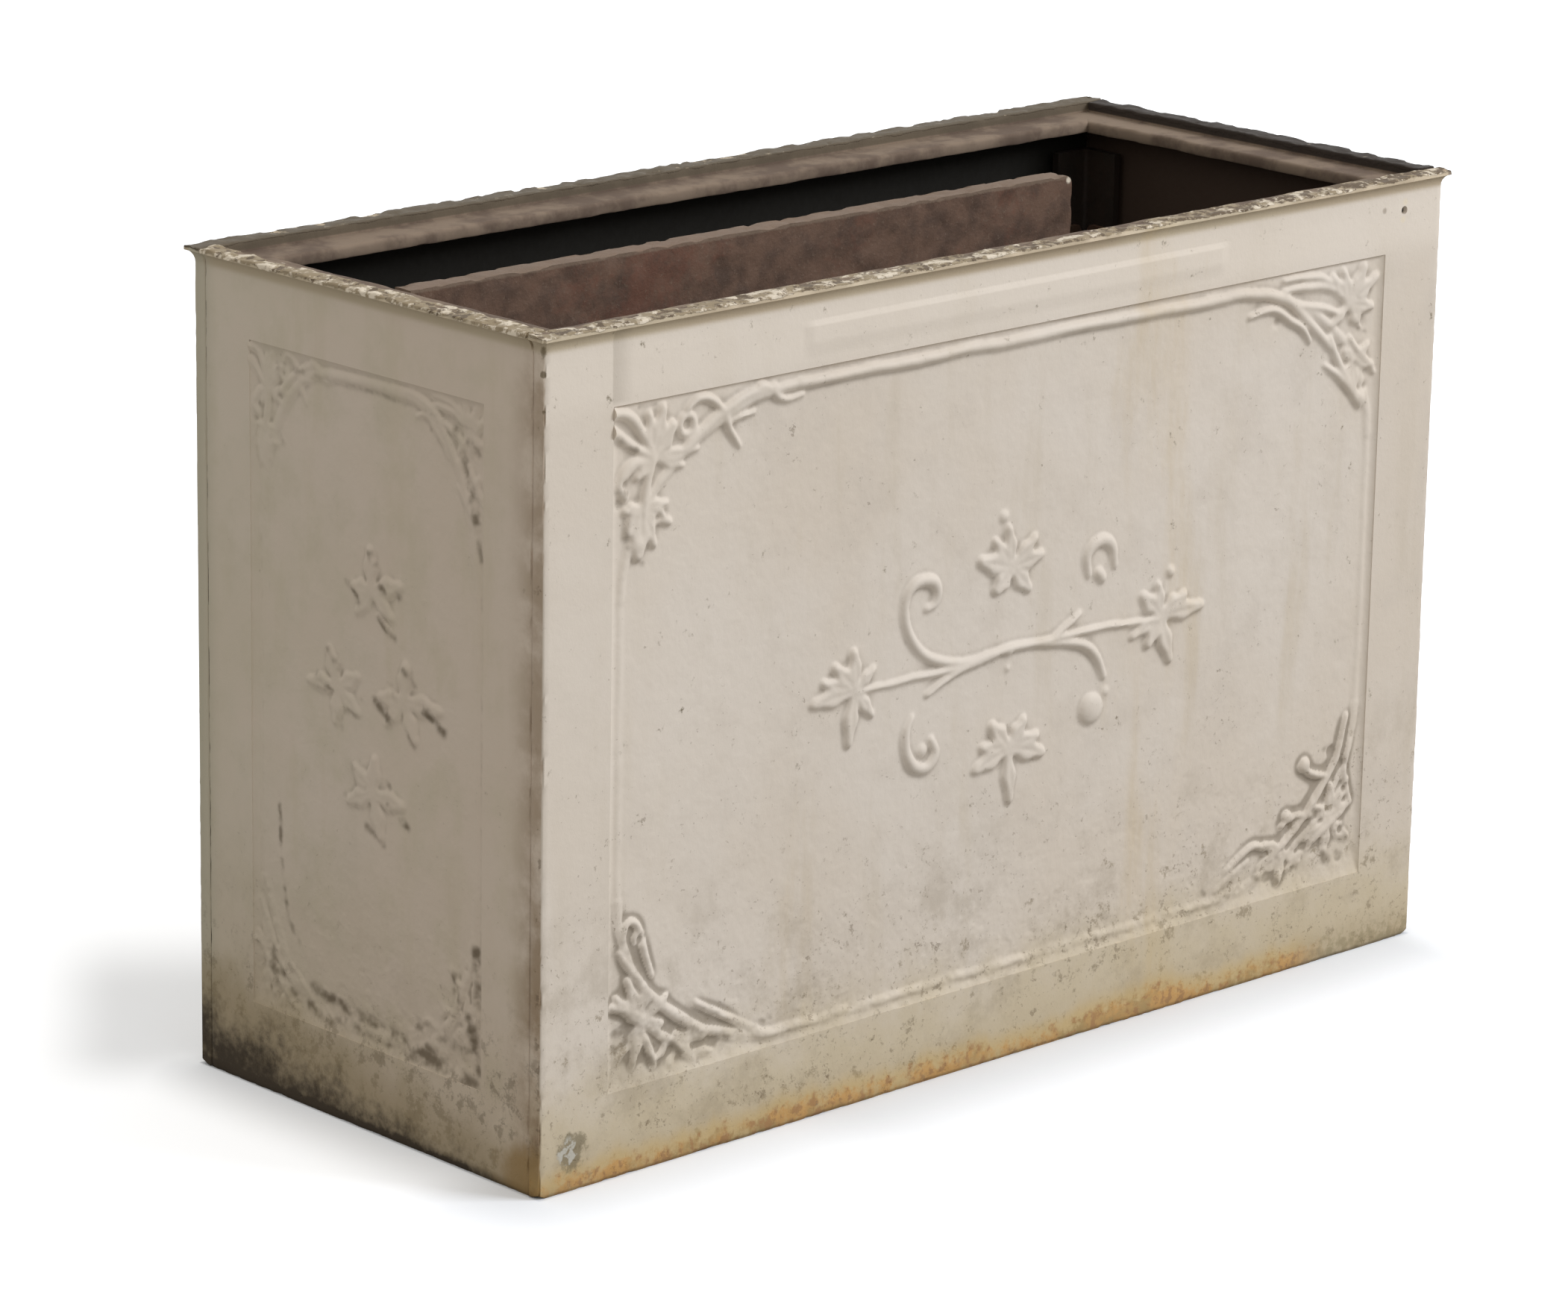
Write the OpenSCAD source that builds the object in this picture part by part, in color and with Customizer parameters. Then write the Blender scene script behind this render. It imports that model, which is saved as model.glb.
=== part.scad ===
// Cast iron plant trough: four cast panels and a base plate, screwed together from the inside.
// Millimetres, +Z up. The origin is on the floor under the middle of the trough.
// The decorated long face looks towards -Y, the decorated short ends towards -X and +X.

/* [Trough] */
// Length over the end walls, without the lip
trough_l = 602; // [520:1:760]
// Width over the front and back walls, without the lip
trough_w = 249.5; // [236:0.5:340]
// Height from the floor to the top of the rim
trough_h = 406.5; // [360:0.5:520]

/* [Castings] */
// Thickness of the panels at their stiles and rails
wall_t = 8; // [7:0.5:11]
// Depth of the sunk field in each panel
field_sink = 2; // [1:0.25:3]
// Thickness of the base plate
base_t = 7; // [5:0.5:10]
// Gap between the base plate and the walls round it
base_gap = 1; // [0.5:0.25:2]
// Width of the flange at the foot of each panel, from the wall inwards
foot_flange_w = 20; // [16:1:30]
// Thickness of the foot flange
foot_flange_t = 8; // [6:0.5:12]

/* [Rim] */
// How far the lip stands out from the wall
lip_out = 4; // [2:0.25:7]
// Height of the upright face at the top of the lip
lip_face_h = 3; // [2:0.25:5]
// Height of the hollow curve under that face
lip_curve_h = 6; // [4:0.5:9]
// Depth of the inner ledge below the top of the rim
ledge_drop = 6; // [4:0.5:12]
// Width of the inner ledge
ledge_w = 20; // [14:0.5:24]
// Thickness of the inner ledge
ledge_t = 6; // [4:0.5:9]
// Rounding of the ledge's inner edge
ledge_round = 2; // [1:0.25:2]

/* [Panel layout] */
// Width of the plain stile on each side of a field
stile_w = 41; // [36:0.5:52]
// Height of the frieze, from under the lip to the top of the field
frieze_h = 30; // [22:0.5:44]
// Height of the bottom rail, from the floor to the foot of the field
rail_h = 42; // [34:0.5:56]
// Length of the blank raised tablet on the frieze
tablet_l = 284; // [180:1:360]
// Height of the tablet
tablet_h = 15; // [10:0.5:18]
// How far the tablet stands out
tablet_rise = 0.8; // [0.4:0.1:1.5]
// Diameter of the small hole at the top of the front panel's right stile
stile_hole_d = 4; // [3:0.5:6]
// Distance of that hole from the right-hand arris
stile_hole_inset = 28; // [20:0.5:34]
// Distance of that hole below the lip
stile_hole_drop = 9; // [6:0.5:13]

/* [Rod frame] */
// Diameter of the half-round rod that frames each field
rod_d = 6; // [4:0.5:8]
// Distance from the edge of the field to the middle of the rod
rod_inset = 6.5; // [5:0.5:10]
// Length of the front rod's corner curve along the panel
front_curve_l = 109; // [90:1:125]
// Length of the end rods' corner curve along the panel
end_curve_l = 50; // [40:1:60]
// Height of the corner curves
curve_h = 85; // [70:1:100]

/* [Foliage] */
// Length of the big leaf lobe on the front panel's spray
leaf_l = 25; // [20:0.5:28]
// Length of the big leaf lobe on the end panels
end_leaf_l = 21; // [17:0.5:24]
// Length of the big leaf lobe in the corners of the front frame
corner_leaf_l = 28; // [24:0.5:31]
// Size of the end panels' corner foliage, as a share of the front's
end_corner_scale = 0.62; // [0.5:0.02:0.7]
// Height of the leaves above the field
leaf_rise = 2.6; // [1.5:0.1:3.5]
// Height of the stems and tendrils above the field
stem_rise = 2.2; // [1.5:0.1:3]
// Width of the stems at their foot
stem_w = 5; // [4:0.25:6]
// Distance from the middle of the spray to its side leaves
spray_half_l = 107; // [96:1:116]
// Distance from the stem of the spray to the upper and lower leaves
spray_half_h = 48; // [44:1:60]
// Height of the spray's stem above the floor
spray_z = 204; // [190:1:230]
// Height of the middle of the ends' leaf group above the floor
end_group_z = 210; // [190:1:235]

/* [Partition] */
// Thickness of the inner partition plate
partition_t = 12; // [8:0.5:14]
// Distance of the middle of the plate behind the middle of the trough
partition_y = 8; // [-12:0.5:20]
// Open space between the free end of the plate and the right-hand wall
partition_open = 129; // [90:1:180]
// Rounding of the plate's free top corner
partition_round = 5; // [2:0.5:12]
// Clearance round the notch where the plate passes under the ledge
notch_gap = 1; // [0.5:0.25:2]

/* [Angles] */
// Length of each leg of the angle irons
angle_leg = 25; // [22:0.5:30]
// Thickness of the angle irons
angle_t = 4; // [3:0.5:6]
// Height of the cast bosses that the corner angles are screwed to
boss_h = 4; // [3:0.5:6]
// Diameter of those bosses
boss_d = 16; // [13:0.5:18]
// Gap between the top of a corner angle and the ledge above it
angle_top_gap = 12; // [9:0.5:20]
// Length of the foot angle that holds the partition to the base
foot_angle_l = 380; // [260:5:420]

/* [Fixings] */
// Diameter of the screws in the corner angles
screw_d = 6; // [5:0.5:7]
// Depth of the tapped holes in the bosses
screw_hole_depth = 9; // [7:0.5:10]
// Diameter of the base screws and of the partition's bolts
bolt_d = 6; // [5:0.5:7]
// Room between a shank and the hole it passes through
hole_clear = 0.6; // [0.4:0.1:1]
// Room between a shank and its tapped hole
tap_clear = 0.4; // [0.3:0.05:0.5]
// Distance of the lowest and highest corner screws from the ends of an angle
screw_margin = 45; // [35:1:60]
// Diameter of the drain holes in the base plate
drain_d = 16; // [12:0.5:20]
// Distance of the drain holes from the middle of the base, along the trough
drain_x = 180; // [150:1:200]
// Distance of the base screws in the end walls from the middle of the wall
base_screw_end_y = 49; // [48:0.5:62]
// Distance of the foot angle's outer bolts and screws from its ends
foot_angle_margin = 30; // [15:1:60]

/* [Hidden] */

paint = "#d8cdb8";
iron = "#3b332c";
rust = "#6a4a3a";
steel = "#55504a";

half_l = trough_l / 2;
half_w = trough_w / 2;
inner_l = half_l - wall_t;
inner_w = half_w - wall_t;
lip_h = lip_face_h + lip_curve_h;
lip_z = trough_h - lip_h;
ledge_top = trough_h - ledge_drop;
ledge_under = ledge_top - ledge_t;
field_top = lip_z - frieze_h;
base_z = foot_flange_t;
base_top = base_z + base_t;
angle_z = base_top;
angle_h = ledge_under - angle_top_gap - angle_z;
mating = 0.02;
arc_steps = 8;

// Heights of the three screws in each corner angle
screw_levels = [for (i = [0:2]) angle_z + screw_margin + i * (angle_h - 2 * screw_margin) / 2];
// Distance of a fixing from the corner of its angle iron, in the middle of the leg's flat
seat_in = (angle_leg + angle_t) / 2;
// Distance of a corner angle's screws from the outside face of the wall beside them
screw_inset = wall_t + boss_h + seat_in;

function head_d(d) = 1.8 * d;
function head_h(d) = 0.65 * d;

// Smooth paths for the foliage

// A point between p1 and p2 on the smooth curve through four points
function between(p0, p1, p2, p3, t) =
    0.5 * (2 * p1 + t * (p2 - p0) + t * t * (2 * p0 - 5 * p1 + 4 * p2 - p3)
    + t * t * t * (3 * p1 - p0 - 3 * p2 + p3));

// A smooth path through a list of points, with a number of steps from each point to the next
function smooth(pts, steps) = [
    for (i = [0:len(pts) - 2])
    for (k = [0:steps - (i == len(pts) - 2 ? 0 : 1)])
    between(pts[max(i - 1, 0)], pts[i], pts[i + 1], pts[min(i + 2, len(pts) - 1)], k / steps)
];

function unit(v) = v / norm(v);
function left_of(v) = [-v[1], v[0]];

// The sideways direction at point i of a path
function sideways(path, i, closed) =
    let (n = len(path))
    let (a = closed ? path[(i + n - 1) % n] : path[max(i - 1, 0)])
    let (b = closed ? path[(i + 1) % n] : path[min(i + 1, n - 1)])
    left_of(unit(b - a));

// A raised strand along a path, rounded over its top and sunk below the field by its root.
// It is start_w wide at its first point and end_w wide at its last.
module strand(path, start_w, end_w, rise, closed = false) {
    root = field_sink / 2;
    n = len(path);
    section = [[-0.5, -root / rise], [-0.5, 0.2], [-0.25, 0.9], [0.25, 0.9], [0.5, 0.2], [0.5, -root / rise]];
    m = len(section);
    points = [
        for (i = [0:n - 1])
        let (side = sideways(path, i, closed), w = start_w + (end_w - start_w) * i / (n - 1))
        for (s = section)
        [path[i][0] + side[0] * w * s[0], path[i][1] + side[1] * w * s[0], s[1] * rise / 0.9]
    ];
    rings = closed ? n - 1 : n - 2;
    sides = [
        for (i = [0:rings])
        for (j = [0:m - 1])
        let (a = i * m + j, b = i * m + (j + 1) % m)
        let (c = (i + 1) % n * m + (j + 1) % m, d = (i + 1) % n * m + j)
        each [[a, b, c], [a, c, d]]
    ];
    ends = closed ? [] : [
        [for (j = [m - 1:-1:0]) j],
        [for (j = [0:m - 1]) (n - 1) * m + j]
    ];
    polyhedron(points, concat(sides, ends), convexity = 6);
}

// A broad five-lobed vine leaf that lies on the field, its big lobe along +Y.
// Each lobe is folded up along its vein, with wide shoulders and a low tip.
module leaf(size) {
    root = field_sink / 2;
    turns = [144, 70, 0, -70, -144];
    reach = [0.76, 0.92, 1, 0.92, 0.76];
    spread = 25;
    lobes = len(turns);
    function at(r, a, z) = [r * size * sin(-a), r * size * cos(a), z];
    tops = [
        for (i = [0:lobes - 1])
        let (notch = i == 0 ? at(0.24, 180, 0.25 * leaf_rise)
            : at(0.5, (turns[i - 1] + turns[i]) / 2, 0.2 * leaf_rise))
        each [
            notch,
            at(0.76 * reach[i], turns[i] + spread, 0.35 * leaf_rise),
            at(reach[i], turns[i], 0.2 * leaf_rise),
            at(0.76 * reach[i], turns[i] - spread, 0.35 * leaf_rise)
        ]
    ];
    feet = [for (p = tops) [p[0], p[1], -root]];
    ridges = [for (i = [0:lobes - 1]) at(0.5 * reach[i], turns[i], leaf_rise)];
    n = len(tops);
    middle = 2 * n + lobes;
    points = concat(tops, feet, ridges, [[0, 0, 0.55 * leaf_rise]]);
    surface = [
        for (i = [0:lobes - 1])
        let (k = 4 * i, ridge = 2 * n + i)
        each [
            [middle, k, k + 1], [middle, k + 1, ridge], [ridge, k + 1, k + 2],
            [ridge, k + 2, k + 3], [middle, ridge, k + 3], [middle, k + 3, (k + 4) % n]
        ]
    ];
    walls = [for (i = [0:n - 1]) each [[i, n + (i + 1) % n, (i + 1) % n], [i, n + i, n + (i + 1) % n]]];
    polyhedron(points, concat(surface, walls, [[for (i = [n - 1:-1:0]) n + i]]), convexity = 8);
}

// The rounded bud at the end of a curled tendril
module bud(p, size) {
    translate([p[0], p[1], -0.2 * size])
        sphere(d = size, $fn = 24);
}

// The path of the rod: straight sides with quarter-ellipse corners, half_x by half_y over its middle line
function rod_path(half_x, half_y, run, rise) = [
    for (q = [0:3])
    let (sx = q == 0 || q == 3 ? 1 : -1, sy = q < 2 ? 1 : -1)
    for (k = [0:arc_steps])
    let (a = 90 * (q % 2 == 0 ? k : arc_steps - k) / arc_steps)
    [sx * (half_x - run * (1 - cos(a))), sy * (half_y - rise * (1 - sin(a)))]
];

// Corner foliage, drawn for the top left corner with the corner of the field at the origin:
// a leaf set into the corner, a smaller one below it, and tendrils that cross the rod.
module corner_foliage(big) {
    translate([24, -26, 0])
        rotate([0, 0, 45])
        leaf(big);
    translate([17, -62, 0])
        rotate([0, 0, 172])
        leaf(0.6 * big);
    corner_strap = smooth([[4, -5], [14, -10], [21, -19], [24, -26]], 2);
    strand(corner_strap, stem_w * 0.5, stem_w * 0.9, stem_rise);
    down_stem = smooth([[24, -26], [16, -44], [15, -60]], 3);
    strand(down_stem, stem_w * 0.8, stem_w * 0.5, stem_rise);
    side_stem = smooth([[30, -28], [46, -27], [62, -14]], 3);
    strand(side_stem, stem_w, stem_w * 0.8, stem_rise);
    near_tendril = smooth([[50, -7], [60, -6], [69, -12], [73, -21], [79, -30]], 3);
    strand(near_tendril, stem_w * 0.7, stem_w * 0.35, stem_rise);
    far_tendril = smooth([[88, -4], [97, -7], [104, -12], [116, -12]], 3);
    strand(far_tendril, stem_w * 0.6, stem_w * 0.3, stem_rise);
}

// The vine spray in the middle of the front panel, with its middle at the origin
module spray() {
    stem = smooth([[-spray_half_l, 0], [-48, 0], [-20, 2], [0, 1], [30, 0], [60, 1], [spray_half_l, 0]], 2);
    strand(stem, stem_w, stem_w, stem_rise);
    upper_left = smooth([[-36, 0], [-52, 7], [-66, 18], [-73, 34], [-68, 45], [-58, 49], [-51, 43]], 3);
    strand(upper_left, stem_w, stem_w * 0.8, stem_rise);
    lower_left = smooth([[-16, 1], [-34, -6], [-52, -8], [-63, -17], [-70, -28]], 3);
    strand(lower_left, stem_w, stem_w * 0.7, stem_rise);
    lower_curl = smooth([[-70, -28], [-71, -38], [-63, -48], [-52, -46], [-50, -38]], 3);
    strand(lower_curl, stem_w * 0.7, stem_w * 0.9, stem_rise);
    lower_right = smooth([[20, 0], [40, -3], [56, -9], [64, -22], [62, -35]], 3);
    strand(lower_right, stem_w, stem_w * 0.8, stem_rise);
    upper_right = smooth([[28, 0], [42, 6], [52, 11]], 3);
    strand(upper_right, stem_w * 0.7, stem_w, stem_rise);
    upper_curl = smooth([[45, 36], [48, 46], [58, 48], [67, 42], [68, 33]], 3);
    strand(upper_curl, stem_w * 0.8, stem_w * 0.7, stem_rise);
    bud([-56, 40], 9);
    bud([-57, -38], 8);
    bud([56, -40], 12);
    bud([58, 35], 9);
    for (p = [[-spray_half_l, 0, 78], [spray_half_l, 0, -78]])
        translate([p[0], p[1], 0])
        rotate([0, 0, p[2]])
        leaf(leaf_l);
    translate([0, spray_half_h, 0])
        rotate([0, 0, 12])
        leaf(leaf_l);
    translate([0, -spray_half_h, 0])
        rotate([0, 0, 186])
        leaf(leaf_l);
}

// The group of four leaves in the middle of an end panel, with its middle at the origin
module leaf_group() {
    for (p = [[3, 50, 15], [-31, 3, 70], [30, 0, -60], [0, -52, 170]])
        translate([p[0], p[1], 0])
        rotate([0, 0, p[2]])
        leaf(end_leaf_l);
    strand(smooth([[-24, 2], [0, 0], [24, 0]], 3), stem_w * 0.7, stem_w * 0.7, stem_rise);
    strand(smooth([[6, 34], [10, 30], [14, 28]], 2), stem_w, stem_w * 0.6, stem_rise);
}

// Corner foliage in all four corners of a field that is field_l long
module corner_set(field_l, big) {
    field_h = field_top - rail_h;
    for (sx = [-1, 1], sy = [-1, 1])
        translate([sx * field_l / 2, rail_h + field_h / 2 + sy * field_h / 2, 0])
        mirror([sx > 0 ? 1 : 0, 0, 0])
        mirror([0, sy < 0 ? 1 : 0, 0])
        scale(big / corner_leaf_l)
        corner_foliage(corner_leaf_l);
}

module rod_frame(field_l, run) {
    field_h = field_top - rail_h;
    path = rod_path(field_l / 2 - rod_inset, field_h / 2 - rod_inset, run, curve_h);
    translate([0, rail_h + field_h / 2, 0])
        strand(path, rod_d, rod_d, rod_d / 2, closed = true);
}

// Wall solids

// The hollow curve of the lip: points from the upright face down to the wall
function lip_curve(side) = [
    for (i = [0:arc_steps])
    let (a = 90 * i / arc_steps)
    [side * lip_out * (1 - sin(a)), lip_z + lip_curve_h * cos(a)]
];

// The outline of the trough across one pair of walls, with the lip flaring at the top
module trough_outline(half) {
    right = [for (p = lip_curve(1)) [half + p[0], p[1]]];
    left = [for (i = [arc_steps:-1:0]) let (p = lip_curve(-1)[i]) [-half + p[0], p[1]]];
    top = [[-half - lip_out, trough_h], [half + lip_out, trough_h]];
    polygon(concat(top, right, [[half, 0], [-half, 0]], left));
}

// The outside of the whole trough as one block
module outside_block() {
    span = trough_l + trough_w;
    intersection() {
        rotate([90, 0, 0])
            linear_extrude(span, center = true)
            trough_outline(half_l);
        rotate([90, 0, 90])
            linear_extrude(span, center = true)
            trough_outline(half_w);
    }
}

// A flange inside a wall that runs along local X, mitred at 45 degrees at both ends.
// It lies from the wall at local Y = 0 towards +Y, with its root just inside the wall.
module mitred_flange(length, width, thickness) {
    linear_extrude(thickness)
        polygon([
            [-length / 2, -mating], [length / 2, -mating], [length / 2, 0],
            [length / 2 - width, width], [-length / 2 + width, width], [-length / 2, 0]
        ]);
}

// What the rounding takes off the upper edge of a ledge, all along a wall
module ledge_edge_cut(length) {
    translate([0, ledge_w - ledge_round, ledge_t - ledge_round])
        rotate([90, 0, 90])
        linear_extrude(length, center = true)
        difference() {
            square(ledge_round + 1);
            circle(ledge_round, $fn = 24);
        }
}

// The ledge and the foot flange of a wall whose inner face is length long
module wall_flanges(length) {
    translate([0, 0, ledge_under])
        difference() {
            mitred_flange(length, ledge_w, ledge_t);
            ledge_edge_cut(length);
        }
    mitred_flange(length, foot_flange_w, foot_flange_t);
}

// Turns a drawing of a face, X to the right, Y up and Z outwards, to stand on one side of the trough
module on_face(turn, distance) {
    rotate([0, 0, turn])
        translate([0, -distance, 0])
        rotate([90, 0, 0])
        children();
}

// The sunk field of a face that is face_l long
module field_cut(face_l) {
    translate([-face_l / 2 + stile_w, rail_h, -field_sink])
        cube([face_l - 2 * stile_w, field_top - rail_h, field_sink + 1]);
}

// The ornament of a face, on the floor of its field
module on_field() {
    translate([0, 0, -field_sink])
        children();
}

// The bosses that the corner angles are screwed to, on the inside of a face that is face_l long
module face_bosses(face_l) {
    for (sx = [-1, 1], z = screw_levels)
        translate([sx * (face_l / 2 - screw_inset), z, -wall_t - boss_h])
        cylinder(d = boss_d, h = boss_h + mating, $fn = 48);
}

module face_screw_holes(face_l) {
    for (sx = [-1, 1], z = screw_levels)
        translate([sx * (face_l / 2 - screw_inset), z, -wall_t - boss_h - 1])
        cylinder(d = screw_d + tap_clear, h = screw_hole_depth + 1, $fn = 32);
}

// Places of the base screws along the long walls, four a side, and along the end walls, two a side
base_screw_inset = wall_t + foot_flange_w / 2;
base_screw_span = trough_l - 2 * wall_t - 2 * foot_flange_w;
base_screws_long = [for (i = [-1.5:1:1.5]) i * base_screw_span / 4];
base_screws_short = [-base_screw_end_y, base_screw_end_y];

// Tapped holes for the base screws, up through the foot flange of one wall
module flange_holes(distance, places) {
    for (x = places)
        translate([x, -distance + base_screw_inset, -1])
        cylinder(d = bolt_d + tap_clear, h = foot_flange_t + 2, $fn = 32);
}

// A long wall, in its own outline and with its flanges and bosses; the ornament is given as children
module long_wall(turn) {
    difference() {
        union() {
            difference() {
                intersection() {
                    outside_block();
                    rotate([0, 0, turn])
                        translate([-trough_l, -trough_w, 0])
                        cube([2 * trough_l, trough_w - inner_w, trough_h]);
                }
                on_face(turn, half_w)
                    field_cut(trough_l);
            }
            rotate([0, 0, turn])
                translate([0, -inner_w, 0])
                wall_flanges(2 * inner_l);
            on_face(turn, half_w)
                face_bosses(trough_l);
            on_face(turn, half_w)
                children();
        }
        on_face(turn, half_w)
            face_screw_holes(trough_l);
        rotate([0, 0, turn])
            flange_holes(half_w, base_screws_long);
    }
}

// An end wall, which stands between the long walls
module end_wall(turn) {
    difference() {
        union() {
            difference() {
                intersection() {
                    outside_block();
                    rotate([0, 0, turn])
                        translate([-inner_w, -trough_l, 0])
                        cube([2 * inner_w, trough_l - inner_l, trough_h]);
                }
                on_face(turn, half_l)
                    field_cut(trough_w);
            }
            rotate([0, 0, turn])
                translate([0, -inner_l, 0])
                wall_flanges(2 * inner_w);
            on_face(turn, half_l)
                face_bosses(trough_w);
            on_face(turn, half_l)
                on_field() {
                    rod_frame(trough_w - 2 * stile_w, end_curve_l);
                    corner_set(trough_w - 2 * stile_w, end_corner_scale * corner_leaf_l);
                    translate([0, end_group_z, 0])
                        leaf_group();
                }
        }
        on_face(turn, half_l)
            face_screw_holes(trough_w);
        rotate([0, 0, turn])
            flange_holes(half_l, base_screws_short);
    }
}

module front_panel() {
    color(paint)
    difference() {
        long_wall(0) {
            on_field() {
                rod_frame(trough_l - 2 * stile_w, front_curve_l);
                corner_set(trough_l - 2 * stile_w, corner_leaf_l);
                translate([0, spray_z, 0])
                    spray();
            }
            translate([-tablet_l / 2, lip_z - frieze_h / 2 - tablet_h / 2, -mating])
                cube([tablet_l, tablet_h, tablet_rise + mating]);
        }
        on_face(0, half_w)
            translate([half_l - stile_hole_inset, lip_z - stile_hole_drop, -wall_t - 1])
            cylinder(d = stile_hole_d, h = wall_t + 2, $fn = 32);
    }
}

module back_panel() {
    color(paint)
    long_wall(180);
}

module left_end_panel() {
    color(paint)
    difference() {
        union() {
            end_wall(-90);
            end_angle_bosses();
        }
        end_angle_holes();
    }
}

module right_end_panel() {
    color(paint)
    end_wall(90);
}

// Base plate

module base_screw_places() {
    for (turn = [0, 180], x = base_screws_long)
        rotate([0, 0, turn])
        translate([x, -half_w + base_screw_inset, 0])
        children();
    for (turn = [-90, 90], x = base_screws_short)
        rotate([0, 0, turn])
        translate([x, -half_l + base_screw_inset, 0])
        children();
}

module base_plate() {
    drain_y = [(-inner_w + partition_front) / 2, (inner_w + partition_back) / 2];
    color(iron)
    difference() {
        translate([-inner_l + base_gap, -inner_w + base_gap, base_z])
            cube([2 * (inner_l - base_gap), 2 * (inner_w - base_gap), base_t]);
        base_screw_places()
            translate([0, 0, base_z - 1])
            cylinder(d = bolt_d + hole_clear, h = base_t + 2, $fn = 32);
        for (x = foot_angle_places)
            translate([x, foot_screw_y, base_z - 1])
            cylinder(d = bolt_d + tap_clear, h = base_t + 2, $fn = 32);
        for (sx = [-1, 1], y = drain_y)
            translate([sx * drain_x, y, base_z - 1])
            cylinder(d = drain_d, h = base_t + 2, $fn = 48);
    }
}

// Fixings

// A hexagon-headed screw that points down, with the seat of its head at the origin
module hex_screw(d, length) {
    translate([0, 0, -length])
        cylinder(d = d, h = length + mating, $fn = 32);
    cylinder(d = head_d(d) / cos(30), h = head_h(d), $fn = 6);
}

module base_screws() {
    color(steel)
    base_screw_places()
        translate([0, 0, base_top])
        hex_screw(bolt_d, base_t + foot_flange_t - 1);
}

// The screws of one face, driven from inside through the angles into the bosses
module face_screws(turn, distance, face_l) {
    for (sx = [-1, 1], z = screw_levels)
        on_face(turn, distance)
        translate([sx * (face_l / 2 - screw_inset), z, -wall_t - boss_h - angle_t])
        rotate([180, 0, 0])
        hex_screw(screw_d, angle_t + screw_hole_depth - 1);
}

module front_panel_screws() {
    color(steel)
    face_screws(0, half_w, trough_l);
}

module back_panel_screws() {
    color(steel)
    face_screws(180, half_w, trough_l);
}

module left_end_screws() {
    color(steel) {
        face_screws(-90, half_l, trough_w);
        for (z = end_angle_levels)
            translate([-inner_l + boss_h + angle_t, end_angle_screw_y, z])
            rotate([0, 90, 0])
            hex_screw(screw_d, angle_t + screw_hole_depth - 1);
    }
}

module right_end_screws() {
    color(steel)
    face_screws(90, half_l, trough_w);
}

// Angle irons

// A length of angle iron along +Z, its legs along +X and +Y, with a rounded root
module angle_iron(length) {
    root_r = angle_t / 2;
    linear_extrude(length)
        difference() {
            square(angle_leg);
            translate([angle_t, angle_t])
                square(angle_leg);
        }
    translate([angle_t, angle_t, 0])
        linear_extrude(length)
        difference() {
            translate([-mating, -mating])
                square(root_r + mating);
            translate([root_r, root_r])
                circle(root_r, $fn = 24);
        }
}

// A corner angle, standing on the base plate against the bosses of its two walls
module corner_angle(sx, sy) {
    off = wall_t + boss_h;
    bore = screw_d + hole_clear;
    color(iron)
    mirror([sx > 0 ? 1 : 0, 0, 0])
    mirror([0, sy > 0 ? 1 : 0, 0])
    difference() {
        translate([-half_l + off, -half_w + off, angle_z])
            angle_iron(angle_h);
        for (z = screw_levels) {
            translate([-half_l + screw_inset, -half_w + off - 1, z])
                rotate([-90, 0, 0])
                cylinder(d = bore, h = angle_t + 2, $fn = 32);
            translate([-half_l + off - 1, -half_w + screw_inset, z])
                rotate([0, 90, 0])
                cylinder(d = bore, h = angle_t + 2, $fn = 32);
        }
    }
}

// Partition

partition_front = partition_y - partition_t / 2;
partition_back = partition_y + partition_t / 2;
partition_left = -inner_l + base_gap;
partition_right = inner_l - partition_open;
// Heights of the three bolts in the partition's end angle
end_angle_levels = [for (i = [0:2]) angle_z + screw_margin + i * (angle_h - 3 * screw_margin) / 2];
// The end angle stands against the left wall's bosses and the back of the plate
end_angle_x = -inner_l + boss_h;
end_angle_screw_y = partition_back + seat_in;
end_bolt_x = end_angle_x + seat_in;
// The foot angle lies on the base plate against the back of the plate
foot_angle_x = (partition_left + partition_right) / 2 - foot_angle_l / 2 + angle_leg / 2;
foot_angle_middle = foot_angle_x + foot_angle_l / 2;
foot_angle_places = [for (i = [-1:1]) foot_angle_middle + i * (foot_angle_l / 2 - foot_angle_margin)];
foot_screw_y = partition_back + seat_in;
foot_bolt_z = base_top + seat_in;

// The end angle's bosses, cast with the left wall
module end_angle_bosses() {
    for (z = end_angle_levels)
        translate([-inner_l - mating, end_angle_screw_y, z])
        rotate([0, 90, 0])
        cylinder(d = boss_d, h = boss_h + mating, $fn = 48);
}

module end_angle_holes() {
    for (z = end_angle_levels)
        translate([-inner_l + boss_h + 1, end_angle_screw_y, z])
        rotate([0, -90, 0])
        cylinder(d = screw_d + tap_clear, h = screw_hole_depth + 1, $fn = 32);
}

module partition_bolt_places() {
    for (z = end_angle_levels)
        translate([end_bolt_x, partition_front, z])
        children();
    for (x = foot_angle_places)
        translate([x, partition_front, foot_bolt_z])
        children();
}

module partition_plate() {
    h = ledge_top - base_top;
    l = partition_right - partition_left;
    notch_l = ledge_w + wall_t + notch_gap - (half_l + partition_left);
    notch_h = ledge_t + notch_gap;
    color(rust)
    difference() {
        translate([partition_left, partition_back, base_top])
            rotate([90, 0, 0])
            linear_extrude(partition_t)
            difference() {
                square([l, h]);
                translate([-1, h - notch_h])
                    square([notch_l + 1, notch_h + 1]);
                translate([l - partition_round, h - partition_round])
                    difference() {
                        square(partition_round + 1);
                        circle(partition_round, $fn = 32);
                    }
            }
        partition_bolt_places()
            translate([0, -1, 0])
            rotate([-90, 0, 0])
            cylinder(d = bolt_d + hole_clear, h = partition_t + 2, $fn = 32);
    }
}

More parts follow.
